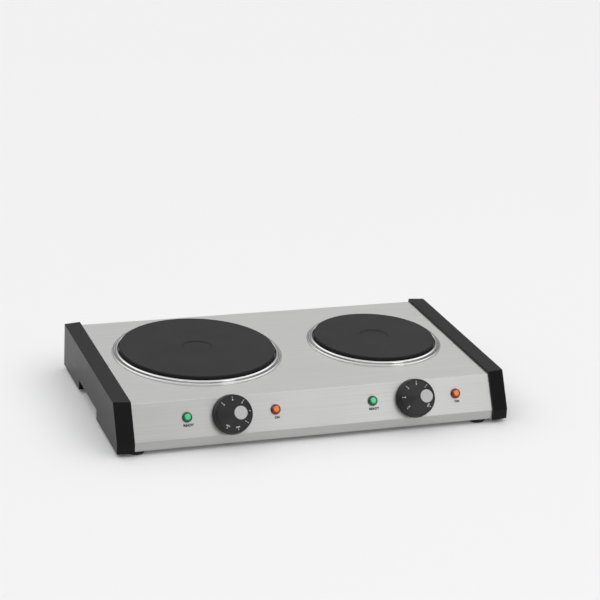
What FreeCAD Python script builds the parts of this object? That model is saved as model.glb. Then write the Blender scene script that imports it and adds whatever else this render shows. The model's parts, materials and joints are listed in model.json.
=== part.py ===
import FreeCAD, Part
import math
import os
import re

import Sketcher
from FreeCAD import Placement, Rotation, Vector

# Countertop hot plate with two cast-iron plates, in millimetres.
# +X is to the right of the person who cooks, +Y to the back, +Z up, and the table is at Z = 0.
# The origin is the middle of the footprint, dials included.

# Driving dimensions: name, value, what it measures
SIZES = [
    ("body_width", 495, "over the two end caps"),
    ("overall_depth", 292, "from the front of the dials to the back of the end caps"),
    ("body_top", 57, "top of the steel above the table"),
    ("body_bottom", 5.5, "lower edge of the steel above the table"),
    ("fold_height", 17, "fold between the leaning panel and the lower strip"),
    ("panel_lean", 29, "degrees that the control panel leans back"),
    ("sheet_steel", 0.8, "thickness of the housing, base and bulkheads"),
    ("bend_radius", 2, "outside radius of the folds in the sheet"),
    ("return_flange", 18, "width of the inward flange along the lower edges"),
    ("sheet_gap", 0.3, "gap between a sheet's free edge and its neighbour"),
    ("through_cut", 6, "length of a cut right through a sheet, half of it on each side"),
    ("cap_width", 20.5, "visible width of an end cap"),
    ("cap_rise", 3, "top of an end cap above the steel"),
    ("cap_proud", 2.5, "end cap in front of and behind the steel"),
    ("cap_bottom", 4.5, "lower edge of an end cap above the table"),
    ("cap_sweep", 3.5, "how far the front and back of a cap turn in at its outer side"),
    ("cap_wall", 2.5, "wall of an end cap"),
    ("cap_seat", 8, "length of the steel inside an end cap"),
    ("cap_fit", 0.2, "gap between the steel and its seat in a cap"),
    ("cap_round", 1, "rounding of the outer edges of a cap"),
    ("recess_setback", 134, "back of the body to the middle of the finger recess"),
    ("recess_length", 92, "finger recess, front to back"),
    ("recess_height", 12.5, "finger recess above the lower edge of the cap"),
    ("boss_radius", 4.5, "screw boss in an end cap"),
    ("boss_inset", 32, "front and rear boss from the lower front and back of the steel"),
    ("boss_height", 33, "front and rear boss above the table"),
    ("middle_boss_height", 42, "middle boss above the table"),
    ("pilot_depth", 12, "depth of a pilot hole"),
    ("bulkhead_flange", 7, "top flange of a bulkhead"),
    ("flange_margin", 14, "bulkhead flange from the ends of the top"),
    ("left_station", -107, "middle of the large plate and its dial, across"),
    ("right_station", 125.5, "middle of the small plate and its dial, across"),
    ("left_burner_setback", 123, "back of the body to the middle of the large plate"),
    ("right_burner_setback", 130, "back of the body to the middle of the small plate"),
    ("left_ring_radius", 105.5, "outer radius of the large trim ring"),
    ("right_ring_radius", 85.7, "outer radius of the small trim ring"),
    ("ring_width", 8.5, "trim ring, outer edge to inner wall"),
    ("ring_lip", 3, "flat outer lip of a trim ring"),
    ("ring_rise", 4.9, "crest of a trim ring above the steel"),
    ("ring_sheet", 0.8, "thickness of a trim ring"),
    ("ring_round", 2.2, "rounding of the bead of a trim ring"),
    ("ring_drop", 1.5, "ledge that carries the plate below the top of the steel"),
    ("ring_ledge", 5, "width of that ledge"),
    ("opening_margin", 6, "trim ring beyond the opening in the steel"),
    ("plate_gap", 0.6, "gap between a plate and its trim ring"),
    ("plate_stand", 8.5, "top of a plate above the steel"),
    ("plate_depth", 18.5, "height of a plate casting"),
    ("plate_skin", 8, "iron above the heating coil"),
    ("plate_step", 6, "rim of a plate beyond its lower body"),
    ("plate_wall", 6, "wall round the heating coil"),
    ("plate_round", 1.6, "rounding of the upper edge of a plate"),
    ("plate_boss_radius", 11, "boss for the centre stud"),
    ("dimple_radius", 19, "shallow hollow in the middle of a plate"),
    ("dimple_depth", 1.2, "depth of that hollow"),
    ("dimple_slope", 2, "sloping edge of that hollow"),
    ("coil_radius", 2, "heating coil, across its turns"),
    ("coil_margin", 6, "middle of the outer turn from the wall of the cup"),
    ("coil_start", 24, "inner radius of the spiral"),
    ("coil_drop", 3.6, "middle of the coil below the iron"),
    ("coil_bend", 4.5, "bend where the coil turns down to its lead"),
    ("coil_gap", 0.3, "gap between the coil and its bed"),
    ("left_coil_turns", 4, "turns of the large coil"),
    ("right_coil_turns", 3, "turns of the small coil"),
    ("lead_bottom", 30, "lower end of a coil lead above the table"),
    ("bead_radius", 4.6, "ceramic bead on a coil lead"),
    ("bead_bottom", 33, "lower end of a bead above the table"),
    ("bead_gap", 0.3, "gap round a lead and round a bead"),
    ("cover_sheet", 0.8, "cover under the coil bed"),
    ("stud_radius", 3, "centre stud of a plate"),
    ("stud_grip", 9, "length of the stud inside the plate"),
    ("stud_tail", 2, "end of the stud beyond its nut"),
    ("stud_fit", 0.05, "gap round the stud"),
    ("spacer_length", 6, "spacer between the cover and the clamp bridge"),
    ("spacer_radius", 6.5, "outer radius of the spacer"),
    ("bridge_sheet", 1.5, "thickness of a clamp bridge"),
    ("bridge_width", 24, "clamp bridge, front to back"),
    ("bridge_leg", 3, "leg of a clamp bridge inside the edge of the ring"),
    ("bridge_foot", 8, "foot of a clamp bridge under the steel"),
    ("shield_margin", 20, "heat shield inside the edge of the ring"),
    ("shield_rim", 6, "turned-down rim of a heat shield"),
    ("shield_sheet", 0.8, "thickness of a heat shield"),
    ("nut_flats", 10, "nut on a centre stud, across flats"),
    ("nut_height", 5, "height of that nut"),
    ("dial_height", 37.5, "axis of a dial on the panel above the table"),
    ("knob_radius", 24, "skirt of a dial"),
    ("knob_rim_radius", 22.4, "front rim of a dial"),
    ("knob_height", 12, "front of a dial above the panel"),
    ("knob_gap", 1, "gap under the skirt"),
    ("knob_round", 1.2, "rounding of the rim"),
    ("knob_wall", 2.4, "wall of a dial"),
    ("knob_dish", 21, "radius of the sunk face"),
    ("knob_dish_depth", 0.6, "depth of the sunk face"),
    ("knob_hub_radius", 6.5, "hub of a dial"),
    ("spot_radius", 8, "pale spot on a dial"),
    ("left_spot_reach", 8.1, "middle of the left spot from the axis"),
    ("right_spot_reach", 11.8, "middle of the right spot from the axis"),
    ("spot_turn", 3.5, "degrees of the spot above the horizontal"),
    ("spot_depth", 0.8, "seat of the spot below the face"),
    ("spot_proud", 0.2, "spot above the face"),
    ("spot_fit", 0.1, "gap round the spot"),
    ("spindle_radius", 3, "spindle of a thermostat"),
    ("spindle_front", 9.2, "front end of the spindle above the panel"),
    ("spindle_back", 14, "rear end of the spindle behind the panel"),
    ("spindle_flat", 1.8, "flat of the spindle from its axis"),
    ("spindle_fit", 0.06, "radial gap of the spindle in its bush and hub"),
    ("bush_radius", 4.6, "bush round a spindle"),
    ("bush_front", 2.4, "front end of the bush above the panel"),
    ("bush_back", 8, "rear end of the bush behind the panel"),
    ("bush_fit", 0.1, "gap round the bush"),
    ("frame_width", 42, "mounting plate of a thermostat, across"),
    ("frame_depth", 22, "mounting plate, up the panel"),
    ("frame_sheet", 1.2, "thickness of the mounting plate"),
    ("thermostat_width", 26, "thermostat body, across"),
    ("thermostat_depth", 21, "thermostat body, up the panel"),
    ("thermostat_length", 22, "thermostat body, back from its plate"),
    ("thermostat_groove", 3, "groove between the ceramic wafers"),
    ("tab_width", 6.3, "terminal tab, up the panel"),
    ("tab_length", 10, "terminal tab behind the body"),
    ("tab_sheet", 0.8, "thickness of a tab"),
    ("tab_spacing", 14, "distance between the two tabs"),
    ("connector_wall", 1.2, "wall of a push-on connector on a tab"),
    ("connector_gap", 0.5, "connector from the thermostat body"),
    ("connector_fit", 0.1, "gap round a tab in its connector"),
    ("lead_radius", 1.5, "insulated lead"),
    ("lead_curve", 8, "bends of a lead"),
    ("lead_grip", 5, "length of a lead inside a terminal"),
    ("lead_turn", 43, "back of the steel to the turn of a lead in front of the terminals"),
    ("lead_sweep", 183.94, "back of the steel to the turn of a supply lead towards its thermostat"),
    ("crimp_radius", 3.2, "crimp sleeve on a coil lead"),
    ("crimp_bottom", 24, "lower end of a crimp sleeve above the table"),
    ("crimp_top", 32.5, "upper end of a crimp sleeve"),
    ("crimp_web", 1.5, "middle of a crimp sleeve between its two wires"),
    ("crimp_fit", 0.1, "gap round the wires in a crimp sleeve"),
    ("fixing_spacing", 33, "distance between the two thermostat screws"),
    ("lamp_height", 38.8, "indicator lenses on the panel above the table"),
    ("lamp_spacing", 109, "green lens to orange lens"),
    ("lens_radius", 6.2, "indicator lens"),
    ("lens_dome", 4.2, "front of a lens above the panel"),
    ("lens_round", 3.8, "rounding of a lens"),
    ("stem_radius", 4, "stem of a lens"),
    ("stem_length", 9, "stem of a lens behind the face of the panel"),
    ("stem_fit", 0.15, "gap round a stem"),
    ("lamp_radius", 2.8, "neon lamp inside a stem"),
    ("lamp_bore_fit", 0.2, "gap between a lamp and its stem"),
    ("lamp_reach", 1, "tip of a lamp in front of the panel"),
    ("sleeve_radius", 4.4, "sleeve at the back of a lamp"),
    ("sleeve_length", 11, "length of that sleeve"),
    ("clip_radius", 7.4, "push-on clip of a lens"),
    ("clip_sheet", 0.6, "thickness of a clip"),
    ("gland_station", 10, "cord gland across"),
    ("gland_height", 24, "cord gland above the table"),
    ("gland_bore", 4, "bore radius of the cord gland"),
    ("gland_radius", 7, "body radius of the cord gland"),
    ("gland_flange", 9.5, "outer flange radius of the cord gland"),
    ("gland_barb", 8, "inner barb radius of the cord gland"),
    ("gland_tail", 7, "length of the gland behind the wall"),
    ("gland_fit", 0.1, "gap round the gland in the wall"),
    ("terminal_width", 34, "supply terminal block, across"),
    ("terminal_depth", 20, "supply terminal block, front to back"),
    ("terminal_height", 15, "supply terminal block"),
    ("terminal_setback", 40, "back of the steel to the middle of the terminal block"),
    ("terminal_ways", 4, "ways of the terminal block"),
    ("terminal_bore_height", 5, "wire bores above the foot of the block"),
    ("terminal_well_depth", 7.5, "depth of a screw well"),
    ("terminal_bore", 1.9, "wire bore of a way"),
    ("terminal_well", 2.8, "screw well of a way"),
    ("foot_radius", 11.5, "rubber foot where it meets the body"),
    ("foot_sole", 10, "sole of a rubber foot"),
    ("foot_round", 0.8, "rounding of that sole"),
    ("foot_well", 4.6, "well for the screw in a foot"),
    ("foot_well_depth", 2.8, "depth of that well"),
    ("foot_setback", 13.5, "middle of a foot from the front or back of the steel"),
    ("left_foot_inset", 25.5, "middle of a left foot from the end of the body"),
    ("right_foot_inset", 35.5, "middle of a right foot from the end of the body"),
    ("screw_radius", 1.7, "shank of a body screw"),
    ("screw_head", 3.2, "head radius of a body screw"),
    ("screw_head_height", 2, "head height of a body screw"),
    ("screw_length", 8, "shank length of a body screw"),
    ("screw_fit", 0.1, "gap round a shank"),
    ("fixing_radius", 1.45, "shank of a thermostat screw"),
    ("fixing_length", 5, "shank length of a thermostat screw"),
    ("base_screw_spacing", 110, "distance between base screws along the flanges"),
    ("base_screw_inset", 9, "base screws from the front and back of the steel"),
    ("vent_width", 4, "vent slot in the base, across"),
    ("vent_length", 46, "vent slot in the base, front to back"),
    ("vent_pitch", 12, "distance between vent slots"),
    ("vent_count", 9, "vent slots under each plate"),
]

# Places that follow from the driving dimensions: name, formula
PLACES = [
    ("knob_reach", "(knob_height - knob_round) * cos(panel_lean)"
                   " + (knob_rim_radius - knob_round) * sin(panel_lean) + knob_round"),
    ("dial_rise", "(dial_height - fold_height) * tan(panel_lean)"),
    ("steel_front", "-overall_depth / 2 + knob_reach - dial_rise"),
    ("body_front", "steel_front - cap_proud"),
    ("body_back", "overall_depth / 2"),
    ("steel_back", "body_back - cap_proud"),
    ("crest_front", "steel_front + (body_top - fold_height) * tan(panel_lean)"),
    ("dial_front", "steel_front + dial_rise"),
    ("lamp_front", "steel_front + (lamp_height - fold_height) * tan(panel_lean)"),
    ("under_top", "body_top - sheet_steel"),
    ("base_bottom", "body_bottom + sheet_steel"),
    ("base_top", "base_bottom + sheet_steel"),
    ("cap_top", "body_top + cap_rise"),
    ("cap_floor", "cap_bottom + cap_wall"),
    ("cap_inner", "body_width / 2 - cap_width"),
    ("steel_length", "2 * (cap_inner + cap_seat)"),
    ("recess_front", "body_back - recess_setback - recess_length / 2"),
    ("recess_back", "recess_front + recess_length"),
    ("recess_top", "cap_bottom + recess_height"),
    ("ring_crest", "body_top + ring_rise"),
    ("ledge_top", "body_top - ring_drop"),
    ("plate_top", "body_top + plate_stand"),
    ("cup_bottom", "plate_top - plate_depth"),
    ("cup_roof", "plate_top - plate_skin"),
    ("coil_height", "cup_roof - coil_drop"),
    ("bed_top", "coil_height - coil_radius - coil_gap"),
    ("cover_bottom", "cup_bottom - cover_sheet"),
    ("bridge_top", "cover_bottom - spacer_length"),
    ("bridge_bottom", "bridge_top - bridge_sheet"),
    ("shield_bottom", "bridge_bottom - shield_sheet"),
    ("nut_bottom", "shield_bottom - nut_height"),
    ("stud_bottom", "nut_bottom - stud_tail"),
    ("stud_top", "cup_bottom + stud_grip"),
    ("knob_ceiling", "knob_height - knob_dish_depth - knob_wall"),
    ("knob_face", "knob_height - knob_dish_depth"),
    ("frame_back", "sheet_steel + frame_sheet"),
    ("thermostat_back", "frame_back + thermostat_length"),
    ("hub_bottom", "bush_front + bush_fit"),
    ("hub_bore", "spindle_radius + spindle_fit"),
    ("hub_top", "spindle_front + spindle_fit"),
    ("left_spot_across", "left_spot_reach * cos(spot_turn)"),
    ("left_spot_up", "left_spot_reach * sin(spot_turn)"),
    ("right_spot_across", "right_spot_reach * cos(spot_turn)"),
    ("right_spot_up", "right_spot_reach * sin(spot_turn)"),
    ("lamp_bore", "lamp_radius + lamp_bore_fit"),
    ("terminal_front", "steel_back - terminal_setback - terminal_depth / 2"),
    ("terminal_pitch", "terminal_width / terminal_ways"),
    ("first_way", "gland_station - (terminal_ways - 1) / 2 * terminal_pitch"),
    ("lead_level", "base_top + terminal_bore_height"),
    ("connector_back", "thermostat_back + tab_length + connector_wall"),
    ("connector_foot", "dial_front + connector_back * cos(panel_lean)"),
    ("connector_height", "dial_height - connector_back * sin(panel_lean)"),
    ("lead_landing", "dial_front + (dial_height - lead_level) / tan(panel_lean)"),
    ("crimp_socket", "lead_bottom - crimp_fit - crimp_web"),
]
for side in ("left", "right"):
    PLACES += [
        (f"{side}_plate_radius", f"{side}_ring_radius - ring_width - plate_gap"),
        (f"{side}_body_radius", f"{side}_plate_radius - plate_step"),
        (f"{side}_cup_radius", f"{side}_body_radius - plate_wall"),
        (f"{side}_coil_end", f"{side}_cup_radius - coil_margin"),
        (f"{side}_coil_pitch", f"({side}_coil_end - coil_start) / {side}_coil_turns"),
        (f"{side}_burner_middle", f"body_back - {side}_burner_setback"),
        (f"{side}_shield_radius", f"{side}_ring_radius - shield_margin"),
    ]

doc = FreeCAD.newDocument("hot_plate_burner")
sizes = doc.addObject("Spreadsheet::Sheet", "sizes")
places = doc.addObject("Spreadsheet::Sheet", "places")
calculator = doc.addObject("Spreadsheet::Sheet", "calculator")
sheet_of = {}
pieces = []
START, END, CENTRE = 1, 2, 3  # points of a line, an arc or a circle in a sketch
ORIGIN = (-1, START)  # origin of a sketch
FIRST_TURN = 45  # any turn, which sets an axis before its angle is bound
SLACK = 0.01  # distance, or share of a volume, that counts as none


def formula(text):
    """Name the sheet of every dimension in a formula."""
    def with_sheet(word):
        name = word.group()
        return f"{sheet_of[name]}.{name}" if name in sheet_of else name

    return re.sub(r"[a-z_]+", with_sheet, str(text))


def number(text):
    """Work a formula out now, for the first guess of a sketch or for picking edges."""
    calculator.set("A1", "=" + formula(text))
    calculator.recompute()
    return float(calculator.get("A1"))


def fill_sheets():
    for row, (name, value, note) in enumerate(SIZES, start=1):
        sizes.set(f"A{row}", note)
        sizes.set(f"B{row}", str(value))
        sizes.setAlias(f"B{row}", name)
        sheet_of[name] = "sizes"
    sizes.recompute()
    for row, (name, text) in enumerate(PLACES, start=1):
        places.set(f"A{row}", "=" + formula(text))
        places.setAlias(f"A{row}", name)
        sheet_of[name] = "places"
    places.recompute()


def bind(item, path, text):
    item.setExpression(path, formula(text))


def place(item, across=0, back=0, height=0, axis=None, angle=0):
    """Bind a placement: where the piece's own origin goes, and its turn about one axis."""
    if axis is not None:
        item.Placement = Placement(Vector(), Rotation(axis, FIRST_TURN))
        bind(item, "Placement.Rotation.Angle", angle)
    bind(item, "Placement.Base.x", across)
    bind(item, "Placement.Base.y", back)
    bind(item, "Placement.Base.z", height)


def on_panel(across, back="dial_front", height="dial_height"):
    """A placement on the control panel, with the piece's own +Z straight out of it."""
    return across, back, height, Vector(1, 0, 0), "90 - panel_lean"


def new_body(name):
    return doc.addObject("PartDesign::Body", name)


def keep(item, label):
    item.Label = label
    pieces.append(item)
    return item


def new_sketch(body, plane, offset=0):
    """A sketch on one of the body's origin planes, moved along the plane's normal."""
    sketch = body.newObject("Sketcher::SketchObject", body.Name + "_sketch")
    origin_plane = [item for item in body.Origin.OriginFeatures if item.Role == plane][0]
    sketch.AttachmentSupport = (origin_plane, [""])
    sketch.MapMode = "FlatFace"
    bind(sketch, "AttachmentOffset.Base.z", offset)
    return sketch


def panel_sketch(body):
    """A sketch on the outer face of the leaning panel, with its origin at the height of the dials."""
    sketch = new_sketch(body, "XY_Plane")
    sketch.AttachmentOffset = Placement(Vector(), Rotation(Vector(1, 0, 0), FIRST_TURN))
    bind(sketch, "AttachmentOffset.Base.y", "dial_front")
    bind(sketch, "AttachmentOffset.Base.z", "dial_height")
    bind(sketch, "AttachmentOffset.Rotation.Angle", "90 - panel_lean")
    return sketch


def dimension(sketch, kind, target, text):
    index = sketch.addConstraint(Sketcher.Constraint(kind, *target, number(text)))
    bind(sketch, f"Constraints[{index}]", text)


def locate(sketch, element, point, across, up):
    dimension(sketch, "DistanceX", (*ORIGIN, element, point), across)
    dimension(sketch, "DistanceY", (*ORIGIN, element, point), up)


def outline(sketch, corners):
    """A closed outline; each corner is (across, up) or, rounded, (across, up, radius)."""
    points = [Vector(number(corner[0]), number(corner[1]), 0) for corner in corners]
    count = len(points)
    arrive, depart, arcs = list(points), list(points), {}
    for index, corner in enumerate(corners):
        if len(corner) == 2:
            continue
        here, radius = points[index], number(corner[2])
        to_last = (points[index - 1] - here).normalize()
        to_next = (points[(index + 1) % count] - here).normalize()
        half_angle = to_last.getAngle(to_next) / 2
        arrive[index] = here + to_last * (radius / math.tan(half_angle))
        depart[index] = here + to_next * (radius / math.tan(half_angle))
        centre = here + (to_last + to_next).normalize() * (radius / math.sin(half_angle))
        turns_left = to_next.cross(to_last).z > 0
        first, last = (arrive[index], depart[index]) if turns_left else (depart[index], arrive[index])
        angles = [math.atan2((end - centre).y, (end - centre).x) for end in (first, last)]
        circle = Part.Circle(centre, Vector(0, 0, 1), radius)
        arc = sketch.addGeometry(Part.ArcOfCircle(circle, *angles))
        arcs[index] = (arc, *((START, END) if turns_left else (END, START)))
    lines = [
        sketch.addGeometry(Part.LineSegment(depart[index], arrive[(index + 1) % count]))
        for index in range(count)
    ]
    for index, corner in enumerate(corners):
        before, after = lines[index - 1], lines[index]
        if index not in arcs:
            sketch.addConstraint(Sketcher.Constraint("Coincident", before, END, after, START))
            locate(sketch, after, START, corner[0], corner[1])
            continue
        arc, way_in, way_out = arcs[index]
        sketch.addConstraint(Sketcher.Constraint("Tangent", before, END, arc, way_in))
        sketch.addConstraint(Sketcher.Constraint("Tangent", arc, way_out, after, START))
        dimension(sketch, "Radius", (arc,), corner[2])
        vertex = sketch.addGeometry(Part.Point(points[index]), True)
        sketch.addConstraint(Sketcher.Constraint("PointOnObject", vertex, START, before))
        sketch.addConstraint(Sketcher.Constraint("PointOnObject", vertex, START, after))
        locate(sketch, vertex, START, corner[0], corner[1])


def rectangle(sketch, left, low, right, high):
    outline(sketch, [(left, low), (right, low), (right, high), (left, high)])


def circle(sketch, across, up, radius):
    element = sketch.addGeometry(
        Part.Circle(Vector(number(across), number(up), 0), Vector(0, 0, 1), number(radius))
    )
    locate(sketch, element, CENTRE, across, up)
    dimension(sketch, "Radius", (element,), radius)


def pad(body, sketch, length, side="One side", reverse=False):
    feature = body.newObject("PartDesign::Pad", body.Name + "_pad")
    feature.Profile = sketch
    feature.SideType = side
    feature.Reversed = reverse
    bind(feature, "Length", length)
    doc.recompute()
    return feature


def pocket(body, sketch, length, side="Symmetric"):
    doc.recompute()
    volume = body.Shape.Volume
    feature = body.newObject("PartDesign::Pocket", body.Name + "_pocket")
    feature.Profile = sketch
    feature.SideType = side
    bind(feature, "Length", length)
    doc.recompute()
    if body.Shape.Volume >= volume:
        raise RuntimeError(f"a cut in {body.Name} removes nothing")
    return feature


def revolve(body, corners):
    """Turn an outline of (radius, height) corners about the body's own Z."""
    sketch = new_sketch(body, "XZ_Plane")
    outline(sketch, corners)
    feature = body.newObject("PartDesign::Revolution", body.Name + "_revolution")
    feature.Profile = sketch
    feature.ReferenceAxis = (sketch, ["V_Axis"])
    feature.Angle = 360
    doc.recompute()
    return feature


def turned(name, corners):
    body = new_body(name)
    revolve(body, corners)
    return body


def group(label, master, spots):
    """One node of several equal solids: copies of a master, each with its own placement."""
    links = []
    for spot in spots:
        link = doc.addObject("App::Link", label + "_copy")
        link.LinkedObject = master
        place(link, *spot)
        links.append(link)
    compound = doc.addObject("Part::Compound", label)
    compound.Links = links
    return keep(compound, label)


# Housing


def top_housing():
    body = new_body("top_housing")
    sketch = new_sketch(body, "YZ_Plane")
    bend, inner_bend = "bend_radius", "bend_radius - sheet_steel"
    outer = [
        ("steel_front + return_flange", "body_bottom"),
        ("steel_front", "body_bottom", bend),
        ("steel_front", "fold_height", bend),
        ("crest_front", "body_top", bend),
        ("steel_back", "body_top", bend),
        ("steel_back", "body_bottom", bend),
        ("steel_back - return_flange", "body_bottom"),
    ]
    inner_crest = (
        "steel_front + (sheet_steel + (under_top - fold_height) * sin(panel_lean)) / cos(panel_lean)"
    )
    inner = [
        ("steel_front + return_flange", "base_bottom"),
        ("steel_front + sheet_steel", "base_bottom", inner_bend),
        ("steel_front + sheet_steel", "fold_height - sheet_steel * tan(panel_lean / 2)", inner_bend),
        (inner_crest, "under_top", inner_bend),
        ("steel_back - sheet_steel", "under_top", inner_bend),
        ("steel_back - sheet_steel", "base_bottom", inner_bend),
        ("steel_back - return_flange", "base_bottom"),
    ]
    outline(sketch, outer + inner[::-1])
    pad(body, sketch, "steel_length", "Symmetric")

    openings = new_sketch(body, "XY_Plane", "body_top")
    for side in ("left", "right"):
        middle = (f"{side}_station", f"{side}_burner_middle")
        circle(openings, *middle, f"{side}_ring_radius - opening_margin")
    pocket(body, openings, "through_cut")

    holes = panel_sketch(body)
    lamp_up = "(lamp_height - dial_height) / cos(panel_lean)"
    for side in ("left", "right"):
        circle(holes, f"{side}_station", 0, "bush_radius + bush_fit")
        for sign in ("-", "+"):
            circle(holes, f"{side}_station {sign} fixing_spacing / 2", 0, "fixing_radius + screw_fit")
            circle(holes, f"{side}_station {sign} lamp_spacing / 2", lamp_up, "stem_radius + stem_fit")
    pocket(body, holes, "through_cut")

    gland_hole = new_sketch(body, "XZ_Plane", "-steel_back")
    circle(gland_hole, "gland_station", "gland_height", "gland_radius + gland_fit")
    pocket(body, gland_hole, "through_cut")

    screw_holes = new_sketch(body, "XY_Plane", "body_bottom")
    base_fixings(screw_holes)
    pocket(body, screw_holes, "through_cut")
    return keep(body, "top_housing")


def foot_spots():
    """Middles of the four feet: name, across, back."""
    return [
        ("left_front", "left_foot_inset - body_width / 2", "steel_front + foot_setback"),
        ("right_front", "body_width / 2 - right_foot_inset", "steel_front + foot_setback"),
        ("left_rear", "left_foot_inset - body_width / 2", "steel_back - foot_setback"),
        ("right_rear", "body_width / 2 - right_foot_inset", "steel_back - foot_setback"),
    ]


def base_screw_spots():
    return [
        (f"{place_along} * base_screw_spacing", row)
        for row in ("steel_front + base_screw_inset", "steel_back - base_screw_inset")
        for place_along in (-1, 0, 1)
    ]


def base_fixings(sketch):
    for across, back in base_screw_spots():
        circle(sketch, across, back, "screw_radius + screw_fit")
    for name, across, back in foot_spots():
        circle(sketch, across, back, "screw_radius + screw_fit")


def base_plate():
    body = new_body("base_plate")
    sheet = new_sketch(body, "XY_Plane", "base_bottom")
    half_width = "cap_inner - sheet_steel - sheet_gap"
    front, back = "steel_front + bend_radius + sheet_gap", "steel_back - bend_radius - sheet_gap"
    rectangle(sheet, f"-({half_width})", front, half_width, back)
    pad(body, sheet, "sheet_steel")
    holes = new_sketch(body, "XY_Plane", "base_bottom")
    base_fixings(holes)
    pocket(body, holes, "through_cut")
    for side in ("left", "right"):
        slot = new_sketch(body, "XY_Plane", "base_bottom")
        first = f"{side}_station - (vent_count - 1) / 2 * vent_pitch"
        rectangle(
            slot,
            f"{first} - vent_width / 2", f"{side}_burner_middle - vent_length / 2",
            f"{first} + vent_width / 2", f"{side}_burner_middle + vent_length / 2",
        )
        cut = pocket(body, slot, "through_cut")
        row = body.newObject("PartDesign::LinearPattern", side + "_vents")
        row.Originals = [cut]
        row.Direction = (slot, ["H_Axis"])
        bind(row, "Length", "(vent_count - 1) * vent_pitch")
        bind(row, "Occurrences", "vent_count")
        body.Tip = row
        doc.recompute()
    return keep(body, "base_plate")


# End caps and the bulkheads behind them


def boss_spots():
    return [
        ("steel_front + boss_inset", "boss_height"),
        ("(recess_front + recess_back) / 2", "middle_boss_height"),
        ("steel_back - boss_inset", "boss_height"),
    ]


def cap_profile(front, back, top, bottom, recess_gap):
    """Side view of a cap: lower strip, lean, top and back, and the finger recess underneath."""
    return [
        (f"{front}", bottom),
        (f"{front}", "fold_height"),
        (f"{front} + ({top} - fold_height) * tan(panel_lean)", top),
        (f"{back}", top),
        (f"{back}", bottom),
        (f"recess_back + {recess_gap}", bottom),
        (f"recess_back + {recess_gap}", f"recess_top + {recess_gap}"),
        (f"recess_front - {recess_gap}", f"recess_top + {recess_gap}"),
        (f"recess_front - {recess_gap}", bottom),
    ]


def left_end_cap():
    body = new_body("left_end_cap")
    inner_side = new_sketch(body, "YZ_Plane", "-cap_inner")
    outline(inner_side, cap_profile("body_front", "body_back", "cap_top", "cap_bottom", 0))
    outer_side = new_sketch(body, "YZ_Plane", "-body_width / 2")
    swept = ("(body_front + cap_sweep)", "(body_back - cap_sweep)")
    outline(outer_side, cap_profile(*swept, "cap_top", "cap_bottom", 0))
    loft = body.newObject("PartDesign::AdditiveLoft", "left_end_cap_loft")
    loft.Profile = inner_side
    loft.Sections = [outer_side]
    loft.Ruled = True
    doc.recompute()
    round_cap_edges(body, loft)

    seat = new_sketch(body, "YZ_Plane", "-cap_inner")
    steel = ("(steel_front - cap_fit)", "(steel_back + cap_fit)")
    outline(seat, cap_profile(*steel, "(body_top + cap_fit)", "cap_floor", "cap_wall"))
    pocket(body, seat, "cap_seat + cap_fit", "One side")
    flange_slots = new_sketch(body, "YZ_Plane", "-cap_inner")
    slot = "(max(return_flange; foot_setback + foot_radius) + cap_fit)"
    rectangle(flange_slots, steel[0], "cap_bottom - cap_wall", f"steel_front + {slot}", "cap_floor")
    rectangle(flange_slots, f"steel_back - {slot}", "cap_bottom - cap_wall", steel[1], "cap_floor")
    pocket(body, flange_slots, "cap_seat + cap_fit", "One side")

    hollow = new_sketch(body, "YZ_Plane", "-cap_inner")
    inside = ("(body_front + cap_sweep + cap_wall)", "(body_back - cap_sweep - cap_wall)")
    outline(hollow, cap_profile(*inside, "(body_top + cap_fit)", "cap_floor", "cap_wall"))
    pocket(body, hollow, "cap_width - cap_wall", "One side")

    bosses = new_sketch(body, "YZ_Plane", "-cap_inner")
    pilots = new_sketch(body, "YZ_Plane", "-cap_inner")
    for back, height in boss_spots():
        circle(bosses, back, height, "boss_radius")
        circle(pilots, back, height, "screw_radius + screw_fit")
    pad(body, bosses, "cap_width - cap_wall / 2", reverse=True)
    pocket(body, pilots, "pilot_depth", "One side")
    return keep(body, "left_end_cap")


def round_cap_edges(body, loft):
    """Round the outer edges that show: along the top, the lean, the front and the back."""
    outer_plane = -number("body_width / 2")
    fold, middle = number("fold_height"), number("(body_front + body_back) / 2")
    reach = number("(body_back - body_front) / 2 - cap_sweep - cap_wall")
    names = []
    for index, edge in enumerate(loft.Shape.Edges, start=1):
        ends = [vertex.Point for vertex in edge.Vertexes]
        spot = edge.CenterOfMass
        on_outside = all(abs(end.x - outer_plane) < SLACK for end in ends)
        along_fold = abs(ends[0].x - ends[1].x) > SLACK and spot.z > fold + SLACK
        if along_fold or on_outside and (spot.z > fold or abs(spot.y - middle) > reach):
            names.append(f"Edge{index}")
    fillet = body.newObject("PartDesign::Fillet", "left_end_cap_edges")
    fillet.Base = (loft, names)
    bind(fillet, "Radius", "cap_round")
    doc.recompute()


def left_bulkhead():
    body = new_body("left_bulkhead")
    wall = new_sketch(body, "YZ_Plane", "-cap_inner")
    front = "steel_front + sheet_steel / cos(panel_lean) + sheet_gap"
    back, top = "steel_back - sheet_steel - sheet_gap", "(under_top - sheet_gap)"
    outline(wall, [
        (front, "base_top"),
        (front, "fold_height"),
        (f"{front} + ({top} - fold_height) * tan(panel_lean)", top),
        (back, top),
        (back, "base_top"),
    ])
    pad(body, wall, "sheet_steel")
    flange = new_sketch(body, "YZ_Plane", "-cap_inner")
    rectangle(flange, "crest_front + flange_margin", "under_top - sheet_steel",
              "steel_back - flange_margin", "under_top")
    pad(body, flange, "bulkhead_flange")
    holes = new_sketch(body, "YZ_Plane", "-cap_inner")
    for spot in boss_spots():
        circle(holes, *spot, "screw_radius + screw_fit")
    pocket(body, holes, "through_cut")
    return keep(body, "left_bulkhead")


def mirrored(source, label):
    mirror = doc.addObject("Part::Mirroring", label)
    mirror.Source = source
    mirror.Normal = Vector(1, 0, 0)
    return keep(mirror, label)


# Plates, their rings and what clamps them


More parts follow.
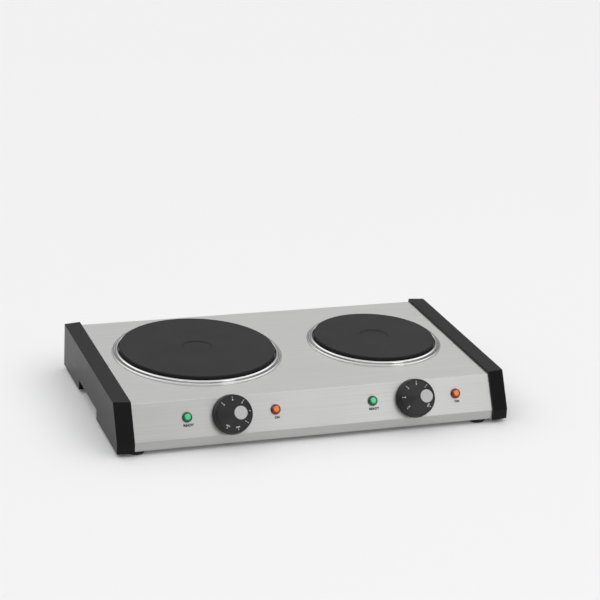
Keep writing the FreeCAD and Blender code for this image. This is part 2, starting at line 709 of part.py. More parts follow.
def trim_ring(side):
    edge, wall = f"{side}_ring_radius", f"({side}_ring_radius - ring_width)"
    thick = "ring_sheet"
    inner_round = "ring_round - ring_sheet"
    body = turned(f"{side}_trim_ring", [
        (edge, "body_top"),
        (edge, f"body_top + {thick}"),
        (f"{edge} - ring_lip", f"body_top + {thick}", inner_round),
        (f"{edge} - ring_lip", "ring_crest", "ring_round"),
        (wall, "ring_crest", "ring_round"),
        (wall, "ledge_top"),
        (f"{wall} - ring_ledge", "ledge_top"),
        (f"{wall} - ring_ledge", f"ledge_top - {thick}"),
        (f"{wall} + {thick}", f"ledge_top - {thick}"),
        (f"{wall} + {thick}", f"ring_crest - {thick}", inner_round),
        (f"{edge} - ring_lip - {thick}", f"ring_crest - {thick}", inner_round),
        (f"{edge} - ring_lip - {thick}", "body_top"),
    ])
    place(body, f"{side}_station", f"{side}_burner_middle")
    return keep(body, f"{side}_trim_ring")


def cast_plate(side):
    rim, lower, cup = f"{side}_plate_radius", f"{side}_body_radius", f"{side}_cup_radius"
    body = turned(f"{side}_cast_plate", [
        (0, "plate_top - dimple_depth"),
        ("dimple_radius - dimple_slope", "plate_top - dimple_depth"),
        ("dimple_radius", "plate_top"),
        (rim, "plate_top", "plate_round"),
        (rim, "ledge_top"),
        (lower, "ledge_top"),
        (lower, "cup_bottom"),
        (cup, "cup_bottom"),
        (cup, "cup_roof"),
        ("plate_boss_radius", "cup_roof"),
        ("plate_boss_radius", "cup_bottom"),
        ("stud_radius + stud_fit", "cup_bottom"),
        ("stud_radius + stud_fit", "stud_top + stud_fit"),
        (0, "stud_top + stud_fit"),
    ])
    place(body, f"{side}_station", f"{side}_burner_middle")
    return keep(body, f"{side}_cast_plate")


def lead_spots(side):
    """Where the two coil leads come down, in front of the middle of the plate: across, back."""
    return [("-coil_bend", "-coil_start"), ("coil_bend", f"-{side}_coil_end")]


def coil_path(side):
    """One lead up, a bend, a spiral of half turns, a bend, and the other lead down."""
    start, pitch, bend = number("coil_start"), number(f"{side}_coil_pitch"), number("coil_bend")
    level, bottom = number("coil_height"), number("lead_bottom")
    half_turns = round(2 * number(f"{side}_coil_turns"))
    slant = bend * math.sqrt(0.5)

    def lead(back, sign):
        low = Vector(sign * bend, back, bottom)
        knee = Vector(sign * bend, back, level - bend)
        halfway = Vector(sign * slant, back, level - bend + slant)
        end = Vector(0, back, level)
        return [Part.LineSegment(low, knee).toShape(), Part.Arc(knee, halfway, end).toShape()]

    spiral = []
    for half in range(half_turns):
        radius = start + half * pitch / 2
        middle, sign = (-pitch / 2, -1) if half % 2 else (0, 1)
        ends = [Vector(0, middle - sign * radius, level), Vector(0, middle + sign * radius, level)]
        spiral.append(Part.Arc(ends[0], Vector(sign * radius, middle, level), ends[1]).toShape())
    far_lead = lead(-start - half_turns * pitch / 2, 1)
    return Part.Wire(lead(-start, -1) + spiral + far_lead[::-1])


def tube(name, path, radius):
    """A round tube along a path, compared with its section times its length."""
    first = path.Edges[0]
    onward = first.tangentAt(first.FirstParameter)
    section = Part.makeCircle(radius, first.Vertexes[0].Point, onward)
    solid = path.makePipeShell([Part.Wire(section)], True, False)
    expected = math.pi * radius ** 2 * path.Length
    if abs(solid.Volume - expected) > SLACK * expected:
        raise RuntimeError(f"{name} is not swept whole")
    feature = doc.addObject("Part::Feature", name)
    feature.Shape = solid
    return feature


def heating_coil(side):
    coil = tube(f"{side}_heating_coil", coil_path(side), number("coil_radius"))
    place(coil, f"{side}_station", f"{side}_burner_middle")
    return keep(coil, f"{side}_heating_coil")


def coil_bed(side):
    """Refractory ring in the cup of the plate: the coil lies on it, and its leads go down through it."""
    inner, outer = "plate_boss_radius + sheet_gap", f"{side}_cup_radius - sheet_gap"
    body = turned(f"{side}_coil_bed", [
        (inner, "cup_bottom"), (outer, "cup_bottom"), (outer, "bed_top"), (inner, "bed_top"),
    ])
    slots = new_sketch(body, "XY_Plane", "bed_top")
    end, room = f"{side}_coil_end", "(coil_radius + coil_gap)"
    rectangle(slots, f"-coil_bend - {room}", f"-coil_start - {room}", 0, f"-coil_start + {room}")
    rectangle(slots, 0, f"-{end} - {room}", f"coil_bend + {room}", f"-{end} + {room}")
    pocket(body, slots, "bed_top - cup_bottom", "One side")
    place(body, f"{side}_station", f"{side}_burner_middle")
    return keep(body, f"{side}_coil_bed")


def coil_cover(side):
    rim, bore = f"{side}_body_radius - sheet_gap", "stud_radius + screw_fit"
    body = turned(f"{side}_coil_cover", [
        (bore, "cover_bottom"), (rim, "cover_bottom"), (rim, "cup_bottom"), (bore, "cup_bottom"),
    ])
    holes = new_sketch(body, "XY_Plane", "cover_bottom")
    for spot in lead_spots(side):
        circle(holes, *spot, "coil_radius + bead_gap")
    pocket(body, holes, "through_cut")
    place(body, f"{side}_station", f"{side}_burner_middle")
    return keep(body, f"{side}_coil_cover")


def heat_shield(side):
    rim, bore = f"{side}_shield_radius", "stud_radius + screw_fit"
    body = turned(f"{side}_heat_shield", [
        (bore, "shield_bottom"),
        (f"{rim} - shield_sheet", "shield_bottom", "bend_radius - shield_sheet"),
        (f"{rim} - shield_sheet", "shield_bottom - shield_rim"),
        (rim, "shield_bottom - shield_rim"),
        (rim, "bridge_bottom", "bend_radius"),
        (bore, "bridge_bottom"),
    ])
    holes = new_sketch(body, "XY_Plane", "shield_bottom")
    for spot in lead_spots(side):
        circle(holes, *spot, "bead_radius + bead_gap")
    pocket(body, holes, "through_cut")
    place(body, f"{side}_station", f"{side}_burner_middle")
    return keep(body, f"{side}_heat_shield")


def clamp_bridge(side):
    """Hat-shaped strap: its feet press up under the steel and its middle hangs on the stud."""
    body = new_body(f"{side}_clamp_bridge")
    sketch = new_sketch(body, "XZ_Plane")
    leg = f"({side}_ring_radius - bridge_leg)"
    tight, wide = "bend_radius - bridge_sheet", "bend_radius"
    half = [
        (f"{leg} + bridge_foot", "under_top - bridge_sheet"),
        (f"{leg} + bridge_foot", "under_top"),
        (leg, "under_top", wide),
        (leg, "bridge_top", tight),
    ]
    under = [
        (f"{leg} + bridge_sheet", "bridge_bottom", wide),
        (f"{leg} + bridge_sheet", "under_top - bridge_sheet", tight),
    ]
    other_half = [(f"-({corner[0]})", *corner[1:]) for corner in (under + half)[::-1]]
    outline(sketch, half + other_half + under)
    pad(body, sketch, "bridge_width", "Symmetric")
    hole = new_sketch(body, "XY_Plane", "bridge_top")
    circle(hole, 0, 0, "stud_radius + screw_fit")
    pocket(body, hole, "through_cut")
    place(body, f"{side}_station", f"{side}_burner_middle")
    return keep(body, f"{side}_clamp_bridge")


def plate_fixings():
    """Studs, spacers, nuts and ceramic beads of both plates."""
    stations = [(f"{side}_station", f"{side}_burner_middle") for side in ("left", "right")]
    bore = "stud_radius + stud_fit"
    stud = turned("stud_master", [
        (0, "stud_bottom"), ("stud_radius", "stud_bottom"), ("stud_radius", "stud_top"), (0, "stud_top"),
    ])
    group("centre_studs", stud, stations)
    spacer = turned("spacer_master", [
        (bore, "bridge_top"), ("spacer_radius", "bridge_top"),
        ("spacer_radius", "cover_bottom"), (bore, "cover_bottom"),
    ])
    group("stud_spacers", spacer, stations)
    prism = doc.addObject("Part::Prism", "nut_prism")
    prism.Polygon = 6
    bind(prism, "Circumradius", "nut_flats / 2 / cos(30)")
    bind(prism, "Height", "nut_height")
    bind(prism, "Placement.Base.z", "nut_bottom")
    drill = doc.addObject("Part::Cylinder", "nut_drill")
    bind(drill, "Radius", bore)
    bind(drill, "Height", "nut_height")
    bind(drill, "Placement.Base.z", "nut_bottom")
    nut = doc.addObject("Part::Cut", "nut_master")
    nut.Base = prism
    nut.Tool = drill
    group("stud_nuts", nut, stations)
    bead = turned("bead_master", [
        ("coil_radius + bead_gap", "bead_bottom"), ("bead_radius", "bead_bottom"),
        ("bead_radius", "cover_bottom"), ("coil_radius + bead_gap", "cover_bottom"),
    ])
    for side in ("left", "right"):
        group(f"{side}_lead_beads", bead, [
            (f"{side}_station + {across}", f"{side}_burner_middle + {back}")
            for across, back in lead_spots(side)
        ])


# Dials and thermostats, each in the panel's own frame: +Z straight out, +Y up the panel


def knob(side):
    body = turned(f"{side}_knob", [
        (0, "knob_face"),
        ("knob_dish - knob_dish_depth", "knob_face"),
        ("knob_dish", "knob_height"),
        ("knob_rim_radius", "knob_height", "knob_round"),
        ("knob_radius", "knob_gap"),
        ("knob_radius - knob_wall", "knob_gap"),
        ("knob_rim_radius - knob_wall", "knob_ceiling", "knob_gap"),
        ("knob_hub_radius", "knob_ceiling"),
        ("knob_hub_radius", "hub_bottom"),
        ("hub_bore", "hub_bottom"),
        ("hub_bore", "hub_top"),
        (0, "hub_top"),
    ])
    key = new_sketch(body, "XY_Plane", "hub_bottom")
    key_top = "(hub_bore + knob_hub_radius) / 2"
    rectangle(key, "-hub_bore", "spindle_flat + spindle_fit", "hub_bore", key_top)
    pad(body, key, "hub_top - hub_bottom")
    seat = new_sketch(body, "XY_Plane", "knob_face")
    circle(seat, f"{side}_spot_across", f"{side}_spot_up", "spot_radius + spot_fit")
    pocket(body, seat, "spot_depth", "One side")
    place(body, *on_panel(f"{side}_station"))
    return keep(body, f"{side}_knob")


def knob_spot(side):
    body = new_body(f"{side}_knob_spot")
    sketch = new_sketch(body, "XY_Plane", "knob_face - spot_depth")
    circle(sketch, f"{side}_spot_across", f"{side}_spot_up", "spot_radius")
    pad(body, sketch, "spot_depth + spot_proud")
    place(body, *on_panel(f"{side}_station"))
    return keep(body, f"{side}_knob_spot")


def spindle(side):
    body = turned(f"{side}_spindle", [
        (0, "-spindle_back"), ("spindle_radius", "-spindle_back"),
        ("spindle_radius", "spindle_front"), (0, "spindle_front"),
    ])
    flat = new_sketch(body, "XY_Plane", "spindle_front")
    rectangle(flat, "-2 * spindle_radius", "spindle_flat", "2 * spindle_radius", "2 * spindle_radius")
    pocket(body, flat, "spindle_front - bush_front", "One side")
    place(body, *on_panel(f"{side}_station"))
    return keep(body, f"{side}_spindle")


def thermostat(side):
    """Steel mounting plate, stacked ceramic body and brass bush."""
    mounting = new_body(f"{side}_thermostat_frame")
    sheet = new_sketch(mounting, "XY_Plane", "-frame_back")
    corner = "screw_head"
    half_width, half_depth = "frame_width / 2", "frame_depth / 2"
    outline(sheet, [
        (f"-{half_width}", f"-{half_depth}", corner), (half_width, f"-{half_depth}", corner),
        (half_width, half_depth, corner), (f"-{half_width}", half_depth, corner),
    ])
    pad(mounting, sheet, "frame_sheet")
    holes = new_sketch(mounting, "XY_Plane", "-frame_back")
    circle(holes, 0, 0, "bush_radius + bush_fit")
    for sign in ("-", "+"):
        circle(holes, f"0 {sign} fixing_spacing / 2", 0, "fixing_radius + screw_fit")
    pocket(mounting, holes, "through_cut")

    block = new_body(f"{side}_thermostat_body")
    base = new_sketch(block, "XY_Plane", "-thermostat_back")
    half_width, half_depth = "thermostat_width / 2", "thermostat_depth / 2"
    rectangle(base, f"-{half_width}", f"-{half_depth}", half_width, half_depth)
    pad(block, base, "thermostat_length")
    bush_seat = new_sketch(block, "XY_Plane", "-frame_back")
    circle(bush_seat, 0, 0, "bush_radius + bush_fit")
    pocket(block, bush_seat, "bush_back + bush_fit - frame_back", "One side")
    spindle_room = new_sketch(block, "XY_Plane", "-frame_back")
    circle(spindle_room, 0, 0, "spindle_radius + bush_fit")
    pocket(block, spindle_room, "spindle_back + bush_fit - frame_back", "One side")
    grooves = new_sketch(block, "XZ_Plane")
    middle = "(frame_back + thermostat_back) / 2"
    low, high = f"-{middle} - thermostat_groove / 2", f"-{middle} + thermostat_groove / 2"
    rectangle(grooves, f"-{half_width}", low, f"-{half_width} + thermostat_groove / 2", high)
    rectangle(grooves, f"{half_width} - thermostat_groove / 2", low, half_width, high)
    pocket(block, grooves, "thermostat_depth + through_cut")

    bush = turned(f"{side}_thermostat_bush", [
        ("hub_bore", "-bush_back"), ("bush_radius", "-bush_back"),
        ("bush_radius", "bush_front"), ("hub_bore", "bush_front"),
    ])
    for item, name in ((mounting, "frame"), (block, "body"), (bush, "bush")):
        place(item, *on_panel(f"{side}_station"))
        keep(item, f"{side}_thermostat_{name}")


def thermostat_tabs():
    """Two flat brass terminals at the back of each thermostat."""
    tab = new_body("tab_master")
    sketch = new_sketch(tab, "XY_Plane", "-thermostat_back - tab_length")
    for sign in ("-", "+"):
        middle = f"0 {sign} tab_spacing / 2"
        rectangle(sketch, f"{middle} - tab_sheet / 2", "-tab_width / 2",
                  f"{middle} + tab_sheet / 2", "tab_width / 2")
    pad(tab, sketch, "tab_length")
    group("thermostat_tabs", tab, [on_panel("left_station"), on_panel("right_station")])


# Indicator lamps


def lamp_spots():
    """Name and place on the panel of each lamp: green on the left of a dial, orange on its right."""
    return [
        (f"{side}_{use}", on_panel(f"{side}_station {sign} lamp_spacing / 2", "lamp_front", "lamp_height"))
        for side in ("left", "right")
        for use, sign in (("ready", "-"), ("on", "+"))
    ]


def lamps():
    for name, spot in lamp_spots():
        lens = turned(f"{name}_lens", [
            (0, "lens_dome"),
            ("lens_radius", "lens_dome", "lens_round"),
            ("lens_radius", 0),
            ("stem_radius", 0),
            ("stem_radius", "-stem_length"),
            ("lamp_bore", "-stem_length"),
            ("lamp_bore", "lamp_reach + lamp_bore_fit"),
            (0, "lamp_reach + lamp_bore_fit"),
        ])
        place(lens, *spot)
        keep(lens, f"{name}_lens")
    spots = [spot for name, spot in lamp_spots()]
    neon = turned("neon_master", [
        (0, "lamp_reach"),
        ("lamp_radius", "lamp_reach", "lamp_radius / 2"),
        ("lamp_radius", "-stem_length"),
        ("sleeve_radius", "-stem_length"),
        ("sleeve_radius", "-stem_length - sleeve_length"),
        (0, "-stem_length - sleeve_length"),
    ])
    group("neon_lamps", neon, spots)
    clip_bore, clip_back = "stem_radius + stud_fit", "-sheet_steel - clip_sheet"
    clip = turned("clip_master", [
        (clip_bore, clip_back), ("clip_radius", clip_back),
        ("clip_radius", "-sheet_steel"), (clip_bore, "-sheet_steel"),
    ])
    group("lens_clips", clip, spots)


# Supply


def cord_gland():
    body = turned("cord_gland", [
        ("gland_bore", "cap_proud"),
        ("gland_flange", "cap_proud", "cap_proud / 2"),
        ("gland_flange", 0),
        ("gland_radius", 0),
        ("gland_radius", "-sheet_steel - gland_fit"),
        ("gland_barb", "-sheet_steel - gland_fit"),
        ("gland_radius", "-gland_tail"),
        ("gland_bore", "-gland_tail"),
    ])
    place(body, "gland_station", "steel_back", "gland_height", Vector(1, 0, 0), "-90")
    return keep(body, "cord_gland")


def supply_terminal():
    body = new_body("supply_terminal")
    base = new_sketch(body, "XY_Plane", "base_top")
    rectangle(base, "gland_station - terminal_width / 2", "terminal_front",
              "gland_station + terminal_width / 2", "terminal_front + terminal_depth")
    pad(body, base, "terminal_height")
    bore = new_sketch(body, "XZ_Plane", "-terminal_front - terminal_depth / 2")
    circle(bore, "first_way", "lead_level", "terminal_bore")
    bore_cut = pocket(body, bore, "terminal_depth + through_cut")
    well = new_sketch(body, "XY_Plane", "base_top + terminal_height")
    circle(well, "first_way", "terminal_front + terminal_depth / 2", "terminal_well")
    well_cut = pocket(body, well, "terminal_well_depth", "One side")
    ways = body.newObject("PartDesign::LinearPattern", "terminal_row")
    ways.Originals = [bore_cut, well_cut]
    ways.Direction = (well, ["H_Axis"])
    bind(ways, "Length", "(terminal_ways - 1) * terminal_pitch")
    bind(ways, "Occurrences", "terminal_ways")
    body.Tip = ways
    doc.recompute()
    return keep(body, "supply_terminal")


# Leads inside the housing


def lead_path(route):
    """Straight runs joined by tangent arcs through a route of (across, back, height) corners."""
    points = [Vector(*(number(value) for value in corner)) for corner in route]
    radius = number("lead_curve")
    edges, start = [], points[0]
    for last, here, following in zip(points, points[1:], points[2:]):
        to_last, to_next = (last - here).normalize(), (following - here).normalize()
        half_angle = to_last.getAngle(to_next) / 2
        inward = (to_last + to_next).normalize()
        arrive = here + to_last * (radius / math.tan(half_angle))
        depart = here + to_next * (radius / math.tan(half_angle))
        halfway = here + inward * (radius / math.sin(half_angle) - radius)
        edges += [Part.LineSegment(start, arrive).toShape(), Part.Arc(arrive, halfway, depart).toShape()]
        start = depart
    edges.append(Part.LineSegment(start, points[-1]).toShape())
    return Part.Wire(edges)


def leads(label, routes):
    compound = doc.addObject("Part::Compound", label)
    compound.Links = [tube(label + "_lead", lead_path(route), number("lead_radius")) for route in routes]
    return keep(compound, label)


def from_tab(side, sign):
    """The first corners of a lead: out of a tab connector and down to the level of the terminals."""
    across = f"{side}_station {sign} tab_spacing / 2"
    return [(across, "connector_foot", "connector_height"), (across, "lead_landing", "lead_level")]


def from_coil(side, spot):
    """The first corners of a lead: down from a crimp sleeve to the level of the terminals."""
    across, back = f"{side}_station + {spot[0]}", f"{side}_burner_middle + {spot[1]}"
    return [(across, back, "crimp_socket"), (across, back, "lead_level")]


def into_terminal(way):
    """The last corners of a lead: along the row and into one way of the supply terminal."""
    across = f"first_way + {way} * terminal_pitch"
    return [(across, "steel_back - lead_turn - terminal_setback", "lead_level"),
            (across, "terminal_front + lead_grip", "lead_level")]


def wiring():
    """Connectors, crimp sleeves and the leads from the terminals by way of the thermostats to the plates."""
    connector = new_body("connector_master")
    shell = new_sketch(connector, "XY_Plane", "-connector_back")
    half_width, half_depth = "(tab_sheet / 2 + connector_wall)", "(tab_width / 2 + connector_wall)"
    rectangle(shell, f"-{half_width}", f"-{half_depth}", half_width, half_depth)
    pad(connector, shell, "connector_back - thermostat_back - connector_gap")
    slot = new_sketch(connector, "XY_Plane", "-thermostat_back - connector_gap")
    half_sheet, half_tab = "(tab_sheet / 2 + connector_fit)", "(tab_width / 2 + connector_fit)"
    rectangle(slot, f"-{half_sheet}", f"-{half_tab}", half_sheet, half_tab)
    pocket(connector, slot, "tab_length - connector_gap + connector_fit", "One side")
    group("tab_connectors", connector, [
        on_panel(f"{side}_station {sign} tab_spacing / 2")
        for side in ("left", "right")
        for sign in ("-", "+")
    ])
    crimp = turned("crimp_master", [
        (0, "crimp_socket"),
        ("lead_radius + crimp_fit", "crimp_socket"),
        ("lead_radius + crimp_fit", "crimp_bottom"),
        ("crimp_radius", "crimp_bottom"),
        ("crimp_radius", "crimp_top"),
        ("coil_radius + crimp_fit", "crimp_top"),
        ("coil_radius + crimp_fit", "crimp_socket + crimp_web"),
        (0, "crimp_socket + crimp_web"),
    ])
    group("coil_crimps", crimp, [
        (f"{side}_station + {across}", f"{side}_burner_middle + {back}")
        for side in ("left", "right")
        for across, back in lead_spots(side)
    ])
    supplies = []
    for side, supply_way, return_way in (("left", 1, 0), ("right", 2, 3)):
        inner, outer = lead_spots(side)
        leads(f"{side}_plate_leads", [
            from_tab(side, "+") + from_coil(side, outer)[::-1],
            from_coil(side, inner) + into_terminal(return_way),
        ])
        feed = from_tab(side, "-")
        sweep = (feed[0][0], "steel_back - lead_sweep", "lead_level")
        supplies.append(feed + [sweep] + into_terminal(supply_way))
    leads("supply_leads", supplies)


# Feet and screws


def feet():
    bore = "screw_radius + screw_fit"
    for name, across, back in foot_spots():
        foot = turned(f"{name}_foot", [
            (bore, "foot_well_depth"),
            ("foot_well", "foot_well_depth"),
            ("foot_well", 0),
            ("foot_sole", 0, "foot_round"),
            ("foot_radius", "body_bottom"),
            (bore, "body_bottom"),
        ])
        place(foot, across, back)
        keep(foot, f"{name}_foot")


def screw_master(name, shank, length):
    """Pan-head screw with its head below the origin and its shank along +Z."""
    return turned(name, [
        (0, "-screw_head_height"),
        ("screw_head", "-screw_head_height", "screw_head_height / 2"),
        ("screw_head", 0),
        (shank, 0),
        (shank, length),
        (0, length),
    ])


def screws():
    body_screw = screw_master("body_screw_master", "screw_radius", "screw_length")
    group("base_screws", body_screw, [(*spot, "body_bottom") for spot in base_screw_spots()])
    group("foot_screws", body_screw, [
        (across, back, "foot_well_depth") for name, across, back in foot_spots()
    ])
    seat = "(cap_inner - sheet_steel)"
    group("cap_screws", body_screw, [
        (f"{sign}{seat}", back, height, Vector(0, 1, 0), f"{sign}90")
        for sign in ("-", "+")
        for back, height in boss_spots()
    ])
    fixing = screw_master("fixing_master", "fixing_radius", "fixing_length")
    group("thermostat_screws", fixing, [
        (f"{side}_station {sign} fixing_spacing / 2", "dial_front", "dial_height",
         Vector(1, 0, 0), "270 - panel_lean")
        for side in ("left", "right")
        for sign in ("-", "+")
    ])


fill_sheets()
top_housing()
base_plate()
mirrored(left_end_cap(), "right_end_cap")
mirrored(left_bulkhead(), "right_bulkhead")
for side in ("left", "right"):
    for make in (trim_ring, cast_plate, heating_coil, coil_bed, coil_cover, heat_shield, clamp_bridge):
        make(side)
    for make in (thermostat, spindle, knob, knob_spot):
        make(side)
plate_fixings()
thermostat_tabs()
lamps()
cord_gland()
supply_terminal()
wiring()
feet()
screws()

doc.recompute()
for item in doc.Objects:
    if {"Invalid", "Error"} & set(item.State):
        raise RuntimeError(f"{item.Name} failed: {item.State}")
for piece in pieces:
    if piece.Shape.isNull() or not piece.Shape.isValid():
        raise RuntimeError(f"{piece.Label} has no valid shape")
os.makedirs("parts", exist_ok=True)
for piece in pieces:
    piece.Shape.exportStep(f"parts/{piece.Label}.step")
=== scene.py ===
import json
import math

import bmesh
import bpy
from mathutils import Matrix, Vector


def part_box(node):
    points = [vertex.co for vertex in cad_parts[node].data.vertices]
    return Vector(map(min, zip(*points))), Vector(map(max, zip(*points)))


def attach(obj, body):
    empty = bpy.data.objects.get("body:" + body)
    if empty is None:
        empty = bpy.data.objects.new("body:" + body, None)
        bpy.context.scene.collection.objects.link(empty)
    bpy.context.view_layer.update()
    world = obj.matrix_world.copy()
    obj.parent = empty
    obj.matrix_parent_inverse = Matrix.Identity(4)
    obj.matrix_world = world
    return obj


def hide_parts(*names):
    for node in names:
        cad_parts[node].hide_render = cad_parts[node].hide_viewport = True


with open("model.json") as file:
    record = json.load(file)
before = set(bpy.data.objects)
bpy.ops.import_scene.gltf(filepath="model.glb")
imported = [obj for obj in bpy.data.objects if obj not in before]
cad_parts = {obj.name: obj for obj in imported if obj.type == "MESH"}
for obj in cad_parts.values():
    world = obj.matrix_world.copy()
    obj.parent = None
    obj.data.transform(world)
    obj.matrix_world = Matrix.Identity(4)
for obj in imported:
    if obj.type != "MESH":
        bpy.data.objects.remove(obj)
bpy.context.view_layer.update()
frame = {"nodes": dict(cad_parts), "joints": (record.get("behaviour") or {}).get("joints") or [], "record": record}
nodes = frame["nodes"]
joints = {joint["child"]: joint for joint in frame["joints"]}
scene = bpy.context.scene
mm = 0.001  # sizes below are in millimetres unless a note says otherwise
sides = ("left", "right")
print("frame loaded:", len(nodes), "nodes")


# Small helpers

def linear(colour):  # sRGB hex to linear RGBA
    channels = [int(colour[i:i + 2], 16) / 255 for i in (1, 3, 5)]
    return [c / 12.92 if c <= 0.04045 else ((c + 0.055) / 1.055) ** 2.4 for c in channels] + [1]


def addNode(tree, kind, settings=None, links=None):
    node = tree.nodes.new(kind)
    for name, value in (settings or {}).items():
        if name in node.inputs:
            node.inputs[name].default_value = value
        else:
            setattr(node, name, value)
    for name, source in (links or {}).items():
        tree.links.new(source, node.inputs[name])
    return node


def startMaterial(name, colour, settings):
    material = bpy.data.materials.new(name)
    material.use_nodes = True
    shader = material.node_tree.nodes["Principled BSDF"]
    shader.inputs["Base Color"].default_value = linear(colour)
    for socket, value in settings.items():
        shader.inputs[socket].default_value = value
    return material, material.node_tree, shader


def setRamp(ramp, *stops):  # (position, hex) pairs
    elements = ramp.color_ramp.elements
    while len(elements) < len(stops):
        elements.new(0.5)
    for element, (position, colour) in zip(elements, stops):
        element.position = position
        element.color = linear(colour)


def perMetre(size):  # pattern scale for a feature of that many millimetres
    return 1 / (size * mm)


# Materials

def brushedStainless():
    # 430 stainless sheet, belt-brushed along the width: satin grey whose reflections smear across
    # the grain, with faint streaks; the real grain is about 0.1 mm, drawn wider here so that it shows
    grain = {"length": 160, "width": 0.7, "depth": 0.05, "smudge": 80}
    satin, smear = 0.42, 0.04  # roughness, and how far handling changes it
    material, tree, shader = startMaterial("Brushed stainless steel", "#C1C1C0", {
        "Metallic": 1, "Roughness": satin, "Anisotropic": 0.75,
    })
    coords = addNode(tree, "ShaderNodeTexCoord").outputs["Object"]
    across = perMetre(grain["width"])
    stretched = addNode(tree, "ShaderNodeMapping",
                        {"Scale": (perMetre(grain["length"]), across, across)}, {"Vector": coords})
    streaks = addNode(tree, "ShaderNodeTexNoise", {"Scale": 1, "Detail": 4, "Roughness": 0.6},
                      {"Vector": stretched.outputs["Vector"]})
    smudges = addNode(tree, "ShaderNodeTexNoise", {"Scale": perMetre(grain["smudge"]), "Detail": 2},
                      {"Vector": coords})
    tone = addNode(tree, "ShaderNodeValToRGB", links={"Fac": streaks.outputs["Fac"]})
    setRamp(tone, (0.3, "#BBBBBA"), (0.7, "#C6C6C5"))
    gloss = addNode(tree, "ShaderNodeMapRange", {"To Min": satin - smear, "To Max": satin + smear},
                    {"Value": smudges.outputs["Fac"]})
    bump = addNode(tree, "ShaderNodeBump", {"Strength": 0.03, "Distance": grain["depth"] * mm},
                   {"Height": streaks.outputs["Fac"]})
    acrossGrain = addNode(tree, "ShaderNodeCombineXYZ", {"Y": 0.7, "Z": 0.7})  # highlights smear this way
    tree.links.new(tone.outputs["Color"], shader.inputs["Base Color"])
    tree.links.new(gloss.outputs["Result"], shader.inputs["Roughness"])
    tree.links.new(bump.outputs["Normal"], shader.inputs["Normal"])
    tree.links.new(acrossGrain.outputs["Vector"], shader.inputs["Tangent"])
    return material


def mouldedPlastic(name, colour, roughness, grainSize, level=0.5, spun=0.0):
    # thermoset or filled nylon from a spark-eroded mould: satin black, with a fine even grain that
    # softens every reflection; the real grain is about 0.1 mm, drawn coarser so that it shows;
    # spun is for a face from a turned mould, where the sheen fans out from the middle
    handlingSize, smear, grainDepth = 45, 0.02, 0.04
    material, tree, shader = startMaterial(name, colour, {
        "Roughness": roughness, "IOR": 1.5, "Specular IOR Level": level,
        "Anisotropic": spun, "Anisotropic Rotation": 0.25,
    })
    coords = addNode(tree, "ShaderNodeTexCoord").outputs["Object"]
    grain = addNode(tree, "ShaderNodeTexNoise", {"Scale": perMetre(grainSize), "Detail": 2},
                    {"Vector": coords})
    handling = addNode(tree, "ShaderNodeTexNoise", {"Scale": perMetre(handlingSize), "Detail": 3},
                       {"Vector": coords})
    gloss = addNode(tree, "ShaderNodeMapRange",
                    {"To Min": roughness - smear, "To Max": roughness + smear},
                    {"Value": handling.outputs["Fac"]})
    bump = addNode(tree, "ShaderNodeBump", {"Strength": 0.07, "Distance": grainDepth * mm},
                   {"Height": grain.outputs["Fac"]})
    tree.links.new(gloss.outputs["Result"], shader.inputs["Roughness"])
    tree.links.new(bump.outputs["Normal"], shader.inputs["Normal"])
    if spun:
        ringwise = addNode(tree, "ShaderNodeTangent", {"direction_type": "UV_MAP", "uv_map": "turned"})
        tree.links.new(ringwise.outputs["Tangent"], shader.inputs["Tangent"])
    return material


def chromedSteel():
    # drawn steel ring, polished and chrome plated: crisp bright and dark bands, faint polishing haze
    hazeSize, polish, spread = 6, 0.1, 0.04
    material, tree, shader = startMaterial("Chrome plated steel", "#D6D6D6", {
        "Metallic": 1, "Roughness": polish,
    })
    coords = addNode(tree, "ShaderNodeTexCoord").outputs["Object"]
    haze = addNode(tree, "ShaderNodeTexNoise", {"Scale": perMetre(hazeSize), "Detail": 4},
                   {"Vector": coords})
    gloss = addNode(tree, "ShaderNodeMapRange", {"To Min": polish - spread, "To Max": polish + spread},
                    {"Value": haze.outputs["Fac"]})
    tree.links.new(gloss.outputs["Result"], shader.inputs["Roughness"])
    return material


